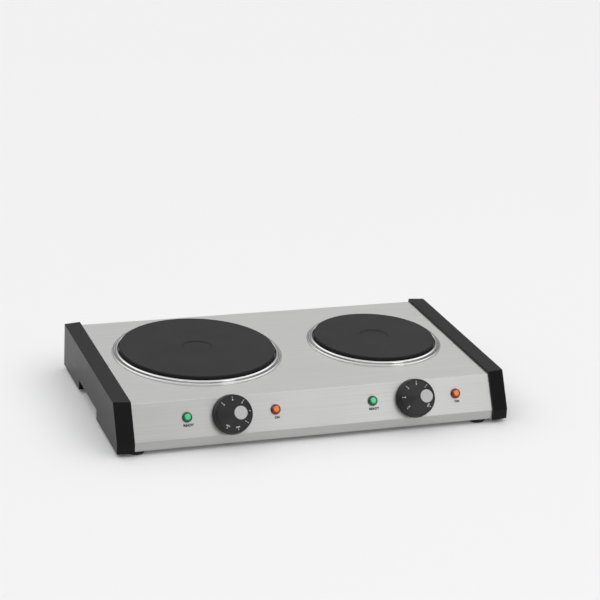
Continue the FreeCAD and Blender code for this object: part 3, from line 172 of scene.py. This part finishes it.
def castIron():
    # grey iron, face turned on a lathe and sprayed with a black heat-proof coat: matt, faintly ringed,
    # with the grain of the sand mould on the rim; the real feed marks are finer, drawn wider to show
    marks = {"feed": 2.2, "feedDepth": 0.08, "grain": 0.5, "grainDepth": 0.05, "heat": 38}
    matt, spread = 0.6, 0.08
    feedScale = math.pi / 10 / (marks["feed"] * mm)  # bands of scale 1 lie pi / 10 apart
    material, tree, shader = startMaterial("Coated cast iron", "#171718", {
        "Roughness": matt, "Specular IOR Level": 0.3,
    })
    coords = addNode(tree, "ShaderNodeTexCoord").outputs["Object"]
    polar = addNode(tree, "ShaderNodeUVMap", {"uv_map": "turned"})
    rings = addNode(tree, "ShaderNodeTexWave", {
        "bands_direction": "Y", "Scale": feedScale, "Distortion": 0.4, "Detail": 1,
    }, {"Vector": polar.outputs["UV"]})
    grain = addNode(tree, "ShaderNodeTexNoise", {"Scale": perMetre(marks["grain"]), "Detail": 3},
                    {"Vector": coords})
    heat = addNode(tree, "ShaderNodeTexNoise", {"Scale": perMetre(marks["heat"]), "Detail": 3},
                   {"Vector": coords})
    tone = addNode(tree, "ShaderNodeValToRGB", links={"Fac": heat.outputs["Fac"]})
    setRamp(tone, (0.3, "#131314"), (0.7, "#1B1B1C"))
    gloss = addNode(tree, "ShaderNodeMapRange", {"To Min": matt - spread, "To Max": matt + spread},
                    {"Value": grain.outputs["Fac"]})
    ringBump = addNode(tree, "ShaderNodeBump", {"Strength": 0.6, "Distance": marks["feedDepth"] * mm},
                       {"Height": rings.outputs["Fac"]})
    bump = addNode(tree, "ShaderNodeBump", {"Strength": 0.35, "Distance": marks["grainDepth"] * mm},
                   {"Height": grain.outputs["Fac"], "Normal": ringBump.outputs["Normal"]})
    tree.links.new(tone.outputs["Color"], shader.inputs["Base Color"])
    tree.links.new(gloss.outputs["Result"], shader.inputs["Roughness"])
    tree.links.new(bump.outputs["Normal"], shader.inputs["Normal"])
    return material


# the lens pieces below have these sizes too
lensSizes = {"radius": 6.2, "dome": 4.2, "rounding": 3.8, "segments": 64}


def lampLens(name, middle, body, edge):
    # clear tinted polycarbonate over a lit neon lamp: a glowing core that falls off to a deep rim
    material, tree, shader = startMaterial(name, body, {
        "Roughness": 0.12, "IOR": 1.58, "Emission Strength": 0.35,
    })
    polar = addNode(tree, "ShaderNodeUVMap", {"uv_map": "turned"})
    parts = addNode(tree, "ShaderNodeSeparateXYZ", links={"Vector": polar.outputs["UV"]})
    share = addNode(tree, "ShaderNodeMapRange", {"From Max": lensSizes["radius"] * mm},
                    {"Value": parts.outputs["Y"]})
    tint = addNode(tree, "ShaderNodeValToRGB", links={"Fac": share.outputs["Result"]})
    setRamp(tint, (0.46, middle), (0.58, body), (0.7, edge))
    tree.links.new(tint.outputs["Color"], shader.inputs["Base Color"])
    tree.links.new(tint.outputs["Color"], shader.inputs["Emission Color"])
    return material


def plainFinish(name, dark, light, settings, grainSize, depth=0.03):
    # a surface slightly uneven in tone and relief; where the real grain is finer than the size given,
    # it is drawn that coarse so that it shows
    material, tree, shader = startMaterial(name, light, settings)
    coords = addNode(tree, "ShaderNodeTexCoord").outputs["Object"]
    grain = addNode(tree, "ShaderNodeTexNoise", {"Scale": perMetre(grainSize), "Detail": 3},
                    {"Vector": coords})
    tone = addNode(tree, "ShaderNodeValToRGB", links={"Fac": grain.outputs["Fac"]})
    setRamp(tone, (0.3, dark), (0.7, light))
    bump = addNode(tree, "ShaderNodeBump", {"Strength": 0.2, "Distance": depth * mm},
                   {"Height": grain.outputs["Fac"]})
    tree.links.new(tone.outputs["Color"], shader.inputs["Base Color"])
    tree.links.new(bump.outputs["Normal"], shader.inputs["Normal"])
    return material


metal = {"Metallic": 1, "Roughness": 0.38}
dullMetal = {"Metallic": 1, "Roughness": 0.6}
finishes = {
    "brushed_stainless": brushedStainless(),
    "cap_plastic": mouldedPlastic("Satin black moulding", "#161617", roughness=0.28, grainSize=0.5,
                                  level=0.11),
    "knob_plastic": mouldedPlastic("Black dial moulding", "#171718", roughness=0.36, grainSize=0.35,
                                   level=0.38, spun=0.8),
    "gland_nylon": mouldedPlastic("Black nylon", "#1A1A1A", roughness=0.5, grainSize=0.6),
    "bright_trim": chromedSteel(),
    "cast_iron_coat": castIron(),
    "green_lens": lampLens("Green tinted polycarbonate", "#46B57D", "#12834A", "#083E23"),
    "orange_lens": lampLens("Orange tinted polycarbonate", "#CC6A16", "#A63F08", "#5E1B06"),
    # pressed in a mould: matt, dusty black
    "rubber": plainFinish("Black rubber", "#0E0E0E", "#171717", {"Roughness": 0.82}, grainSize=0.8),
    # dipped in molten zinc: pale grey with a broad spangle
    "zinc_steel": plainFinish("Zinc coated sheet steel", "#8E9194", "#A6A9AC", metal, grainSize=9),
    # barrel plated: pale grey with a fine mottle
    "screw_steel": plainFinish("Zinc plated screw steel", "#8C8E90", "#A4A6A8", metal, grainSize=2),
    # drawn and then scaled by heat: dull brown grey
    "resistance_wire": plainFinish("Oxidised heating wire", "#4A4540", "#6A625B", dullMetal, grainSize=1),
    # turned from bar: warm yellow with a soft shine
    "brass": plainFinish("Turned brass", "#9C7B3C", "#B59450", metal, grainSize=2),
    # cast and fired: chalky and gritty
    "refractory": plainFinish("Refractory cement", "#B9B1A2", "#D3CCBD", {"Roughness": 0.9},
                              grainSize=1.5, depth=0.2),
    # pressed and fired, unglazed: smooth cream
    "ceramic_white": plainFinish("Steatite ceramic", "#DAD5CA", "#E6E2D9", {"Roughness": 0.45},
                                 grainSize=3),
    # moulded without a dye: milky, softly glossy
    "terminal_nylon": plainFinish("Natural nylon", "#D2CEC2", "#DEDBD1", {"Roughness": 0.45},
                                  grainSize=2),
    # blown tube: glossy, half clear
    "lamp_glass": plainFinish("Neon lamp glass", "#C9C3B6", "#D8D2C6",
                              {"Roughness": 0.08, "Alpha": 0.6}, grainSize=3),
    # braided glass yarn: off-white, rough to the eye
    "wire_sleeve": plainFinish("Glass braid sleeve", "#B9B3A6", "#D0CABC", {"Roughness": 0.85},
                               grainSize=0.6, depth=0.15),
    # sprayed through a mask: even pale grey, softly satin
    "spot_paint": plainFinish("Pale grey paint", "#BCBCBC", "#C4C4C4", {"Roughness": 0.5}, grainSize=0.8),
}
# thin inks, nearly flat: dark on the steel, white on the dials
legendInk = plainFinish("Dark grey screen print", "#161617", "#1E1E1F",
                        {"Roughness": 0.6, "Specular IOR Level": 0.2}, grainSize=0.4, depth=0.01)
dialInk = plainFinish("White pad print", "#D8D8D6", "#E6E6E4", {"Roughness": 0.55},
                      grainSize=0.4, depth=0.01)
slotOf = {entry["node"]: entry["material_slot"] for entry in frame["record"]["subparts"]}
for name, node in nodes.items():
    node.data.materials.clear()
    node.data.materials.append(finishes[slotOf[name]])
print("materials:", len(bpy.data.materials))


# What the pieces share

def boxMiddle(node):
    low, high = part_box(node)
    return (low + high) / 2


def standPlace(node):  # upright on the floor at the middle of a node
    middle = boxMiddle(node)
    return Matrix.Translation((middle.x, middle.y, 0))


def panelPlace(side, across=0.0, up=0.0):
    # local X along the panel, Y up it and Z straight out, from the axis of that side's dial
    joint = joints[side + "_dial"]
    out = Vector(joint["axis"]).normalized()
    along = Vector((1, 0, 0))
    upward = out.cross(along)
    origin = Vector(joint["pos_m"]) + along * across + upward * up
    turn = Matrix((along, upward, out)).transposed().to_4x4()
    return Matrix.Translation(origin) @ turn


def roundedProfile(corners, steps=8, guard=0.12):
    # (radius, height) corners, rounded where a third number gives the radius of the rounding;
    # guard points beside each rounding keep the flats flat when shaded smooth
    points = []
    count = len(corners)
    for index, corner in enumerate(corners):
        here = Vector(corner[:2])
        if len(corner) == 2:
            points.append(here)
            continue
        toLast = (Vector(corners[index - 1][:2]) - here).normalized()
        toNext = (Vector(corners[(index + 1) % count][:2]) - here).normalized()
        half = toLast.angle(toNext) / 2
        reach = corner[2] / math.tan(half)
        inward = (toLast + toNext).normalized()
        centre = here + inward * (corner[2] / math.sin(half))
        first, last = here + toLast * reach - centre, here + toNext * reach - centre
        points.append(centre + first + toLast * guard)
        sweep = first.angle_signed(last)
        for step in range(steps + 1):
            points.append(centre + Matrix.Rotation(-sweep * step / steps, 2) @ first)
        points.append(centre + last + toNext * guard)
    return points


def turnedMesh(name, corners, place, segments, closed=False, sharp=38):
    # a profile of (radius, height) in millimetres turned about local Z, then placed;
    # its UV map holds the angle as a share of a turn and the radius in metres
    form = bmesh.new()
    uvMap = form.loops.layers.uv.new("turned")
    angles = [2 * math.pi * k / segments for k in range(segments)]
    rings = []
    for radius, height in roundedProfile(corners):
        if radius == 0:  # on the axis: one shared point
            rings.append([form.verts.new((0, 0, height * mm))] * segments)
            continue
        circle = [(radius * mm * math.cos(a), radius * mm * math.sin(a), height * mm) for a in angles]
        rings.append([form.verts.new(point) for point in circle])
    pairs = list(zip(rings, rings[1:])) + ([(rings[-1], rings[0])] if closed else [])
    for below, above in pairs:
        for k in range(segments):
            after = (k + 1) % segments
            corner = [below[k], below[after], above[after], above[k]]
            turns = [k, k + 1, k + 1, k]
            kept = [i for i in range(4) if corner[i] not in corner[:i]]
            if len(kept) < 3:
                continue
            face = form.faces.new([corner[i] for i in kept])
            face.smooth = True
            for loop, i in zip(face.loops, kept):
                radius = math.hypot(loop.vert.co.x, loop.vert.co.y)
                loop[uvMap].uv = (turns[i] / segments, radius)
    bmesh.ops.recalc_face_normals(form, faces=form.faces)
    form.transform(place)
    mesh = bpy.data.meshes.new(name)
    form.to_mesh(mesh)
    form.free()
    mesh.set_sharp_from_angle(angle=math.radians(sharp))
    return mesh


def newPiece(name, mesh, body, slot, stands=(), finish=None):
    # rides on a body, has its slot's finish unless another is given, and may stand for CAD nodes
    mesh.materials.clear()
    mesh.materials.append(finish or finishes[slot])
    piece = bpy.data.objects.new(name, mesh)
    scene.collection.objects.link(piece)
    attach(piece, body)
    if stands:
        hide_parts(*stands)


def startTree(title, sockets):  # a tree with named inputs and one geometry out
    tree = bpy.data.node_groups.new(title, "GeometryNodeTree")
    for name, kind in sockets.items():
        tree.interface.new_socket(name, in_out="INPUT", socket_type="NodeSocket" + kind)
    tree.interface.new_socket("Geometry", in_out="OUTPUT", socket_type="NodeSocketGeometry")
    return tree, addNode(tree, "NodeGroupInput").outputs


def endTree(tree, copies, finish):  # makes the copies real and gives them their finish
    real = addNode(tree, "GeometryNodeRealizeInstances", links={"Geometry": copies.outputs["Instances"]})
    painted = addNode(tree, "GeometryNodeSetMaterial",
                      links={"Geometry": real.outputs["Geometry"], "Material": finish})
    addNode(tree, "NodeGroupOutput", links={"Geometry": painted.outputs["Geometry"]})


def grownMesh(tree, inputs, start=None):
    # runs a tree on its own object and gives the result as a plain mesh
    holder = bpy.data.objects.new("grown", start or bpy.data.meshes.new("grown"))
    scene.collection.objects.link(holder)
    modifier = holder.modifiers.new("grown", "NODES")
    modifier.node_group = tree
    for item in tree.interface.items_tree:
        if item.in_out == "INPUT" and item.name in inputs:
            modifier[item.identifier] = inputs[item.name]
    view = bpy.context.evaluated_depsgraph_get()
    mesh = bpy.data.meshes.new_from_object(holder.evaluated_get(view))
    holder.modifiers.remove(modifier)
    bpy.data.objects.remove(holder)
    return mesh


def textMesh(words, size, thickness, weight):
    curve = bpy.data.curves.new("wording", "FONT")
    curve.body = words
    curve.size = size * mm
    curve.offset = weight * mm  # thickens the strokes
    curve.space_character = 1 + 2 * weight / size
    curve.extrude = thickness / 2 * mm
    curve.align_x = "CENTER"
    curve.align_y = "CENTER"
    holder = bpy.data.objects.new("wording", curve)
    scene.collection.objects.link(holder)
    view = bpy.context.evaluated_depsgraph_get()
    mesh = bpy.data.meshes.new_from_object(holder.evaluated_get(view))
    bpy.data.objects.remove(holder)
    bpy.data.curves.remove(curve)
    return mesh


def joinMeshes(name, placed):  # (mesh, matrix) pairs into one mesh
    form = bmesh.new()
    for mesh, place in placed:
        mesh.transform(place)
        form.from_mesh(mesh)
        bpy.data.meshes.remove(mesh)
    joined = bpy.data.meshes.new(name)
    form.to_mesh(joined)
    form.free()
    return joined


# Trim rings and plates

ringSizes = {"lip": 3, "sheet": 0.8, "width": 8.5, "rise": 4.9, "rounding": 2.2, "edgeRounding": 0.35,
             "ledge": 5, "drop": 1.5, "segments": 192}
plateSizes = {"rounding": 1.6, "step": 6, "seat": 10, "dimple": 19, "dimpleSlope": 2, "dimpleDepth": 1.2,
              "dimpleRounding": 1, "segments": 192}


def trimRing(side):
    sizes = ringSizes
    low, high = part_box(side + "_trim_ring")
    edge = (high.x - low.x) / 2 / mm
    steel = high.z / mm - sizes["rise"]
    sheet, outside = sizes["sheet"], sizes["rounding"]
    inside = outside - sheet
    wall, shoulder = edge - sizes["width"], edge - sizes["lip"]
    crest, ledge = steel + sizes["rise"], steel - sizes["drop"]
    mouth = wall - sizes["ledge"]
    corners = [
        (edge, steel), (edge, steel + sheet, sizes["edgeRounding"]), (shoulder, steel + sheet, inside),
        (shoulder, crest, outside), (wall, crest, outside), (wall, ledge),
        (mouth, ledge), (mouth, ledge - sheet), (wall + sheet, ledge - sheet),
        (wall + sheet, crest - sheet, inside), (shoulder - sheet, crest - sheet, inside),
        (shoulder - sheet, steel),
    ]
    place = standPlace(side + "_trim_ring")
    mesh = turnedMesh(side + "TrimRing", corners, place, sizes["segments"], closed=True)
    newPiece(side + "TrimRing", mesh, "root", "bright_trim", [side + "_trim_ring"])


def castPlate(side):
    sizes = plateSizes
    low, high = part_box(side + "_cast_plate")
    rim, top, bottom = (high.x - low.x) / 2 / mm, high.z / mm, low.z / mm
    seat, neck = top - sizes["seat"], rim - sizes["step"]
    dimple, dimpleFloor = sizes["dimple"], top - sizes["dimpleDepth"]
    corners = [
        (0, dimpleFloor), (dimple - sizes["dimpleSlope"], dimpleFloor, sizes["dimpleRounding"]),
        (dimple, top, sizes["dimpleRounding"]), (rim, top, sizes["rounding"]), (rim, seat),
        (neck, seat), (neck, bottom), (0, bottom),
    ]
    mesh = turnedMesh(side + "CastPlate", corners, standPlace(side + "_cast_plate"), sizes["segments"])
    newPiece(side + "CastPlate", mesh, "root", "cast_iron_coat", [side + "_cast_plate"])


for side in sides:
    trimRing(side)
    castPlate(side)
print("rings and plates done")


# Dials

knobSizes = {"skirt": 24, "rim": 22.4, "height": 12, "gap": 1, "rounding": 1.2, "wall": 2.4, "dish": 21,
             "dishDepth": 0.6, "dishFillet": 0.4, "edge": 0.3, "innerFillet": 1, "segments": 128}
spotSizes = {"radius": 8, "proud": 0.2, "seat": 0.8, "rounding": 0.15, "segments": 64}
printSizes = {"numeral": 3.2, "word": 2.6, "weight": 0.07, "reach": 16.2, "tickOuter": 20.2,
              "tickLength": 2, "tickWidth": 0.55, "thickness": 0.05, "stepDegrees": 43.2, "clear": 1.4}
printTurn = {"left": -124, "right": -40}  # first label at rest, degrees anticlockwise from the right
dialLabels = ("OFF", "MIN", "1", "2", "3", "4", "5")
dialFace = knobSizes["height"] - knobSizes["dishDepth"]


def dialKnob(side):
    sizes = knobSizes
    skirt, rim, wall, top = sizes["skirt"], sizes["rim"], sizes["wall"], sizes["height"]
    ceiling = dialFace - wall
    corners = [
        (0, dialFace), (sizes["dish"] - sizes["dishDepth"], dialFace, sizes["dishFillet"]),
        (sizes["dish"], top, sizes["edge"]), (rim, top, sizes["rounding"]),
        (skirt, sizes["gap"], sizes["edge"]), (skirt - wall, sizes["gap"]),
        (rim - wall, ceiling, sizes["innerFillet"]), (0, ceiling),
    ]
    mesh = turnedMesh(side + "DialKnob", corners, panelPlace(side), sizes["segments"])
    newPiece(side + "DialKnob", mesh, side + "_dial", "knob_plastic", [side + "_knob"])


def spotOffset(side):  # middle of the pale spot from the dial's axis, along and up the panel
    fromAxis = panelPlace(side).inverted() @ boxMiddle(side + "_knob_spot")
    return Vector((fromAxis.x, fromAxis.y, 0))


def dialSpot(side):
    sizes = spotSizes
    radius, top, bottom = sizes["radius"], dialFace + sizes["proud"], dialFace - sizes["seat"]
    corners = [(0, top), (radius, top, sizes["rounding"]), (radius, bottom), (0, bottom)]
    place = panelPlace(side) @ Matrix.Translation(spotOffset(side))
    mesh = turnedMesh(side + "DialSpot", corners, place, sizes["segments"])
    newPiece(side + "DialSpot", mesh, side + "_dial", "spot_paint", [side + "_knob_spot"])


def tickTree():
    # bars set out round a centre: what marks the steps of a dial
    tree, inlet = startTree("Dial ticks", {
        "Count": "Int", "First Angle": "Float", "Step": "Float", "Radius": "Float", "Bar": "Vector",
        "Finish": "Material",
    })
    index = addNode(tree, "GeometryNodeInputIndex").outputs["Index"]
    angle = addNode(tree, "ShaderNodeMath", {"operation": "MULTIPLY_ADD"})
    tree.links.new(index, angle.inputs[0])
    tree.links.new(inlet["Step"], angle.inputs[1])
    tree.links.new(inlet["First Angle"], angle.inputs[2])
    turn = addNode(tree, "ShaderNodeCombineXYZ", links={"Z": angle.outputs["Value"]})
    arm = addNode(tree, "ShaderNodeCombineXYZ", links={"X": inlet["Radius"]})
    spot = addNode(tree, "ShaderNodeVectorRotate", {"rotation_type": "Z_AXIS"},
                   {"Vector": arm.outputs["Vector"], "Angle": angle.outputs["Value"]})
    points = addNode(tree, "GeometryNodePoints",
                     links={"Count": inlet["Count"], "Position": spot.outputs["Vector"]})
    bar = addNode(tree, "GeometryNodeMeshCube", links={"Size": inlet["Bar"]})
    copies = addNode(tree, "GeometryNodeInstanceOnPoints", links={
        "Points": points.outputs["Points"], "Instance": bar.outputs["Mesh"],
        "Rotation": turn.outputs["Vector"],
    })
    endTree(tree, copies, inlet["Finish"])
    return tree


def dialPrint(side, tree):
    sizes = printSizes
    first, step = math.radians(printTurn[side]), math.radians(sizes["stepDegrees"])
    marks = grownMesh(tree, {
        "Count": len(dialLabels), "First Angle": first, "Step": step,
        "Radius": (sizes["tickOuter"] - sizes["tickLength"] / 2) * mm,
        "Bar": [sizes[key] * mm for key in ("tickLength", "tickWidth", "thickness")], "Finish": dialInk,
    })
    lift = Vector((0, 0, dialFace + sizes["thickness"] / 2)) * mm
    onFace = panelPlace(side) @ Matrix.Translation(lift)
    placed = [(marks, onFace)]
    for index, label in enumerate(dialLabels):
        angle = first + index * step
        spot = Vector((math.cos(angle), math.sin(angle), 0)) * sizes["reach"] * mm
        if (spot - spotOffset(side)).length < (spotSizes["radius"] + sizes["clear"]) * mm:
            continue  # the pale spot covers this one
        size = sizes["numeral"] if label.isdigit() else sizes["word"]
        wording = textMesh(label, size, sizes["thickness"], sizes["weight"])
        upright = Matrix.Rotation(angle - math.pi / 2, 4, "Z")  # read with its angle at the top
        placed.append((wording, onFace @ Matrix.Translation(spot) @ upright))
    mesh = joinMeshes(side + "DialPrint", placed)
    newPiece(side + "DialPrint", mesh, side + "_dial", "spot_paint", finish=dialInk)


ticks = tickTree()
for side in sides:
    dialKnob(side)
    dialSpot(side)
    dialPrint(side, ticks)
print("dials done")


# Indicator lenses and their printed words

lampSizes = {"rise": 1.49, "legendDrop": 9.7, "legendShift": 0.9, "legendSize": 3.7,
             "legendWeight": 0.26, "legendThickness": 0.04}
lampUses = {"ready": "green_lens", "on": "orange_lens"}


def lampPlace(side, use):
    middle = boxMiddle(f"{side}_{use}_lens")
    across = middle.x - joints[side + "_dial"]["pos_m"][0]
    return panelPlace(side, across, lampSizes["rise"] * mm)


def lensPiece(side, use, slot):
    sizes = lensSizes
    title = f"{side}{use.title()}Lens"
    radius, dome = sizes["radius"], sizes["dome"]
    corners = [(0, dome), (radius, dome, sizes["rounding"]), (radius, 0), (0, 0)]
    mesh = turnedMesh(title, corners, lampPlace(side, use), sizes["segments"])
    newPiece(title, mesh, "root", slot, [f"{side}_{use}_lens"])


def legendWord(side, use):  # the word under a lamp, and its place
    sizes = lampSizes
    thickness = sizes["legendThickness"]
    wording = textMesh(use.upper(), sizes["legendSize"], thickness, sizes["legendWeight"])
    offset = Vector((sizes["legendShift"], -sizes["legendDrop"], thickness / 2)) * mm
    return wording, lampPlace(side, use) @ Matrix.Translation(offset)


words = []
for side in sides:
    for use, slot in lampUses.items():
        lensPiece(side, use, slot)
        words.append(legendWord(side, use))
newPiece("panelLegends", joinMeshes("panelLegends", words), "root", "spot_paint", finish=legendInk)
print("lenses and legends done")


# Feet

footSizes = {"top": 11.5, "sole": 10, "rounding": 0.8, "well": 4.6, "wellDepth": 2.8, "wellRounding": 0.4,
             "bore": 1.8, "segments": 64}


def rubberFoot(side, end):
    sizes = footSizes
    node, title = f"{side}_{end}_foot", f"{side}{end.title()}Foot"
    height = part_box(node)[1].z / mm
    well, depth, bore = sizes["well"], sizes["wellDepth"], sizes["bore"]
    corners = [
        (bore, depth), (well, depth), (well, 0, sizes["wellRounding"]),
        (sizes["sole"], 0, sizes["rounding"]), (sizes["top"], height), (bore, height),
    ]
    mesh = turnedMesh(title, corners, standPlace(node), sizes["segments"], closed=True)
    newPiece(title, mesh, "root", "rubber", [node])


for side in sides:
    for end in ("front", "rear"):
        rubberFoot(side, end)
print("feet done")


# Screws under the base and in the feet

screwSizes = {"head": 3.2, "headHeight": 2, "shank": 1.7, "length": 8, "segments": 32, "recessReach": 1.9,
              "recessWidth": 0.75, "recessDepth": 1.1, "recessTaper": 0.6, "seed": 7}


def solidMiddles(name, reach):  # middles, along and across, of the separate solids in a node
    groups = []
    for vertex in nodes[name].data.vertices:
        spot = vertex.co.xy
        for group in groups:
            if (group[0] - spot).length < reach * mm:
                group.append(spot)
                break
        else:
            groups.append([spot])
    return [Vector(((min(s.x for s in group) + max(s.x for s in group)) / 2,
                    (min(s.y for s in group) + max(s.y for s in group)) / 2)) for group in groups]


def crossCutter():
    # a plus sign that narrows as it goes in, as a cross-head driver does
    sizes = screwSizes
    form = bmesh.new()
    arm, half = sizes["recessReach"] * mm, sizes["recessWidth"] / 2 * mm
    outline = [Matrix.Rotation(math.pi / 2 * k, 3, "Z") @ Vector(point)
               for k in range(4) for point in ((arm, -half, 0), (arm, half, 0), (half, half, 0))]
    mouth = Vector((0, 0, -(sizes["headHeight"] + sizes["recessDepth"]) * mm))
    bottom = Vector((0, 0, -(sizes["headHeight"] - sizes["recessDepth"]) * mm))
    outer = [form.verts.new(point + mouth) for point in outline]
    inner = [form.verts.new(point * sizes["recessTaper"] + bottom) for point in outline]
    form.faces.new(outer)
    form.faces.new(inner)
    for k in range(len(outline)):
        after = (k + 1) % len(outline)
        form.faces.new((outer[k], outer[after], inner[after], inner[k]))
    bmesh.ops.recalc_face_normals(form, faces=form.faces)
    mesh = bpy.data.meshes.new("crossCutter")
    form.to_mesh(mesh)
    form.free()
    return mesh


def crossScrew():  # pan-head screw, head down, with its recess cut out
    sizes = screwSizes
    head, shank, length = sizes["head"], sizes["shank"], sizes["length"]
    top = -sizes["headHeight"]
    corners = [(0, top), (head, top, sizes["headHeight"] / 2), (head, 0), (shank, 0), (shank, length),
               (0, length)]
    body = turnedMesh("screwBlank", corners, Matrix(), sizes["segments"])
    blank = bpy.data.objects.new("screwBlank", body)
    cutter = bpy.data.objects.new("crossCutter", crossCutter())
    for holder in (blank, cutter):
        scene.collection.objects.link(holder)
    cut = blank.modifiers.new("recess", "BOOLEAN")
    cut.object = cutter
    cut.solver = "EXACT"
    view = bpy.context.evaluated_depsgraph_get()
    mesh = bpy.data.meshes.new_from_object(blank.evaluated_get(view))
    for holder in (blank, cutter):
        bpy.data.objects.remove(holder)
    return mesh


def screwTree():
    # a screw at every point, each stopped at a turn of its own
    tree, inlet = startTree("Screws", {
        "Geometry": "Geometry", "Screw": "Object", "Seed": "Int", "Finish": "Material",
    })
    share = addNode(tree, "FunctionNodeRandomValue", {"data_type": "FLOAT"}, {"Seed": inlet["Seed"]})
    angle = addNode(tree, "ShaderNodeMath", {"operation": "MULTIPLY"})
    tree.links.new(share.outputs[1], angle.inputs[0])  # the random number between 0 and 1
    angle.inputs[1].default_value = math.pi / 2
    turn = addNode(tree, "ShaderNodeCombineXYZ", links={"Z": angle.outputs["Value"]})
    screw = addNode(tree, "GeometryNodeObjectInfo", links={"Object": inlet["Screw"]})
    copies = addNode(tree, "GeometryNodeInstanceOnPoints", links={
        "Points": inlet["Geometry"], "Instance": screw.outputs["Geometry"],
        "Rotation": turn.outputs["Vector"],
    })
    endTree(tree, copies, inlet["Finish"])
    return tree


def screwSet(title, name, tree, master):
    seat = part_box(name)[0].z + screwSizes["headHeight"] * mm
    spots = solidMiddles(name, 2 * screwSizes["head"])
    points = bpy.data.meshes.new("screwPoints")
    points.from_pydata([(spot.x, spot.y, seat) for spot in spots], [], [])
    inputs = {"Screw": master, "Seed": screwSizes["seed"], "Finish": finishes["screw_steel"]}
    newPiece(title, grownMesh(tree, inputs, points), "root", "screw_steel", [name])


masterScrew = bpy.data.objects.new("masterScrew", crossScrew())
scene.collection.objects.link(masterScrew)
screwing = screwTree()
screwSet("baseScrews", "base_screws", screwing, masterScrew)
screwSet("footScrews", "foot_screws", screwing, masterScrew)
bpy.data.objects.remove(masterScrew)
print("screws done")


# Studio: pale floor, soft light, camera at the photograph's angle

# angles are in degrees
cameraSizes = {"place": (-751.32, -2064.68, 943.32), "azimuth": -20.397, "elevation": 20.346,
               "roll": 3.403, "focalPixels": 1897.1, "imagePixels": 600, "sensor": 36, "farLimit": 100000}
# light and floor are in metres and watts
studioSizes = {"floorReach": 30, "floorGlow": 0.06, "ceilingAxis": (0.03, 0.09, 0.98), "ceilingPower": 1.84,
               "keyPlace": (1.35, -2.5, 1.8), "keyWidth": 1.0, "keyHeight": 1.4, "keyPower": 6.4}


def addCamera():
    sizes = cameraSizes
    azimuth, elevation, roll = (math.radians(sizes[key]) for key in ("azimuth", "elevation", "roll"))
    back = Vector((math.sin(azimuth) * math.cos(elevation), -math.cos(azimuth) * math.cos(elevation),
                   math.sin(elevation)))
    levelRight = Vector((0, 0, 1)).cross(back).normalized()
    levelUp = back.cross(levelRight)
    right = math.cos(roll) * levelRight + math.sin(roll) * levelUp
    up = back.cross(right)
    lens = bpy.data.cameras.new("camera")
    lens.sensor_width = sizes["sensor"]
    lens.lens = sizes["sensor"] * sizes["focalPixels"] / sizes["imagePixels"]
    lens.clip_end = sizes["farLimit"] * mm
    camera = bpy.data.objects.new("camera", lens)
    place = Matrix((right, up, back)).transposed().to_4x4()
    place.translation = Vector(sizes["place"]) * mm
    camera.matrix_world = place
    scene.collection.objects.link(camera)
    scene.camera = camera


def addFloor():
    # opal light table: even pale grey with a faint glow, so that no shadow goes black
    form = bmesh.new()
    bmesh.ops.create_grid(form, x_segments=1, y_segments=1, size=studioSizes["floorReach"])
    mesh = bpy.data.meshes.new("floor")
    form.to_mesh(mesh)
    form.free()
    material = startMaterial("Pale light table", "#E9E9E9", {
        "Roughness": 0.9, "Specular IOR Level": 0.1,
        "Emission Color": linear("#FFFFFF"), "Emission Strength": studioSizes["floorGlow"],
    })[0]
    mesh.materials.append(material)
    floor = bpy.data.objects.new("floor", mesh)
    scene.collection.objects.link(floor)


def addWorld():
    # a dim room under one very large soft ceiling light, weaker straight overhead,
    # which leans to the back and slightly to the right
    world = bpy.data.worlds.new("studio")
    world.use_nodes = True
    tree = world.node_tree
    coords = addNode(tree, "ShaderNodeTexCoord").outputs["Generated"]
    height = addNode(tree, "ShaderNodeVectorMath", {"operation": "DOT_PRODUCT"})
    height.inputs[1].default_value = Vector(studioSizes["ceilingAxis"]).normalized()
    tree.links.new(coords, height.inputs[0])
    ramp = addNode(tree, "ShaderNodeValToRGB", links={"Fac": height.outputs["Value"]})
    setRamp(ramp, (0.44, "#707070"), (0.66, "#FFFFFF"), (1.0, "#A0A0A0"))
    tree.links.new(ramp.outputs["Color"], tree.nodes["Background"].inputs["Color"])
    tree.nodes["Background"].inputs["Strength"].default_value = studioSizes["ceilingPower"]
    scene.world = world


def addKeyLight():
    # a soft box at the front right, which brightens the panel from its middle to the right
    sizes = studioSizes
    light = bpy.data.lights.new("key", "AREA")
    light.shape = "RECTANGLE"
    light.size = sizes["keyWidth"]
    light.size_y = sizes["keyHeight"]
    light.energy = sizes["keyPower"]
    holder = bpy.data.objects.new("key", light)
    holder.location = sizes["keyPlace"]
    holder.rotation_euler = (-Vector(sizes["keyPlace"])).to_track_quat("-Z", "Y").to_euler()
    scene.collection.objects.link(holder)


addCamera()
addFloor()
addWorld()
addKeyLight()
scene.view_settings.view_transform = "Standard"
print("studio done")
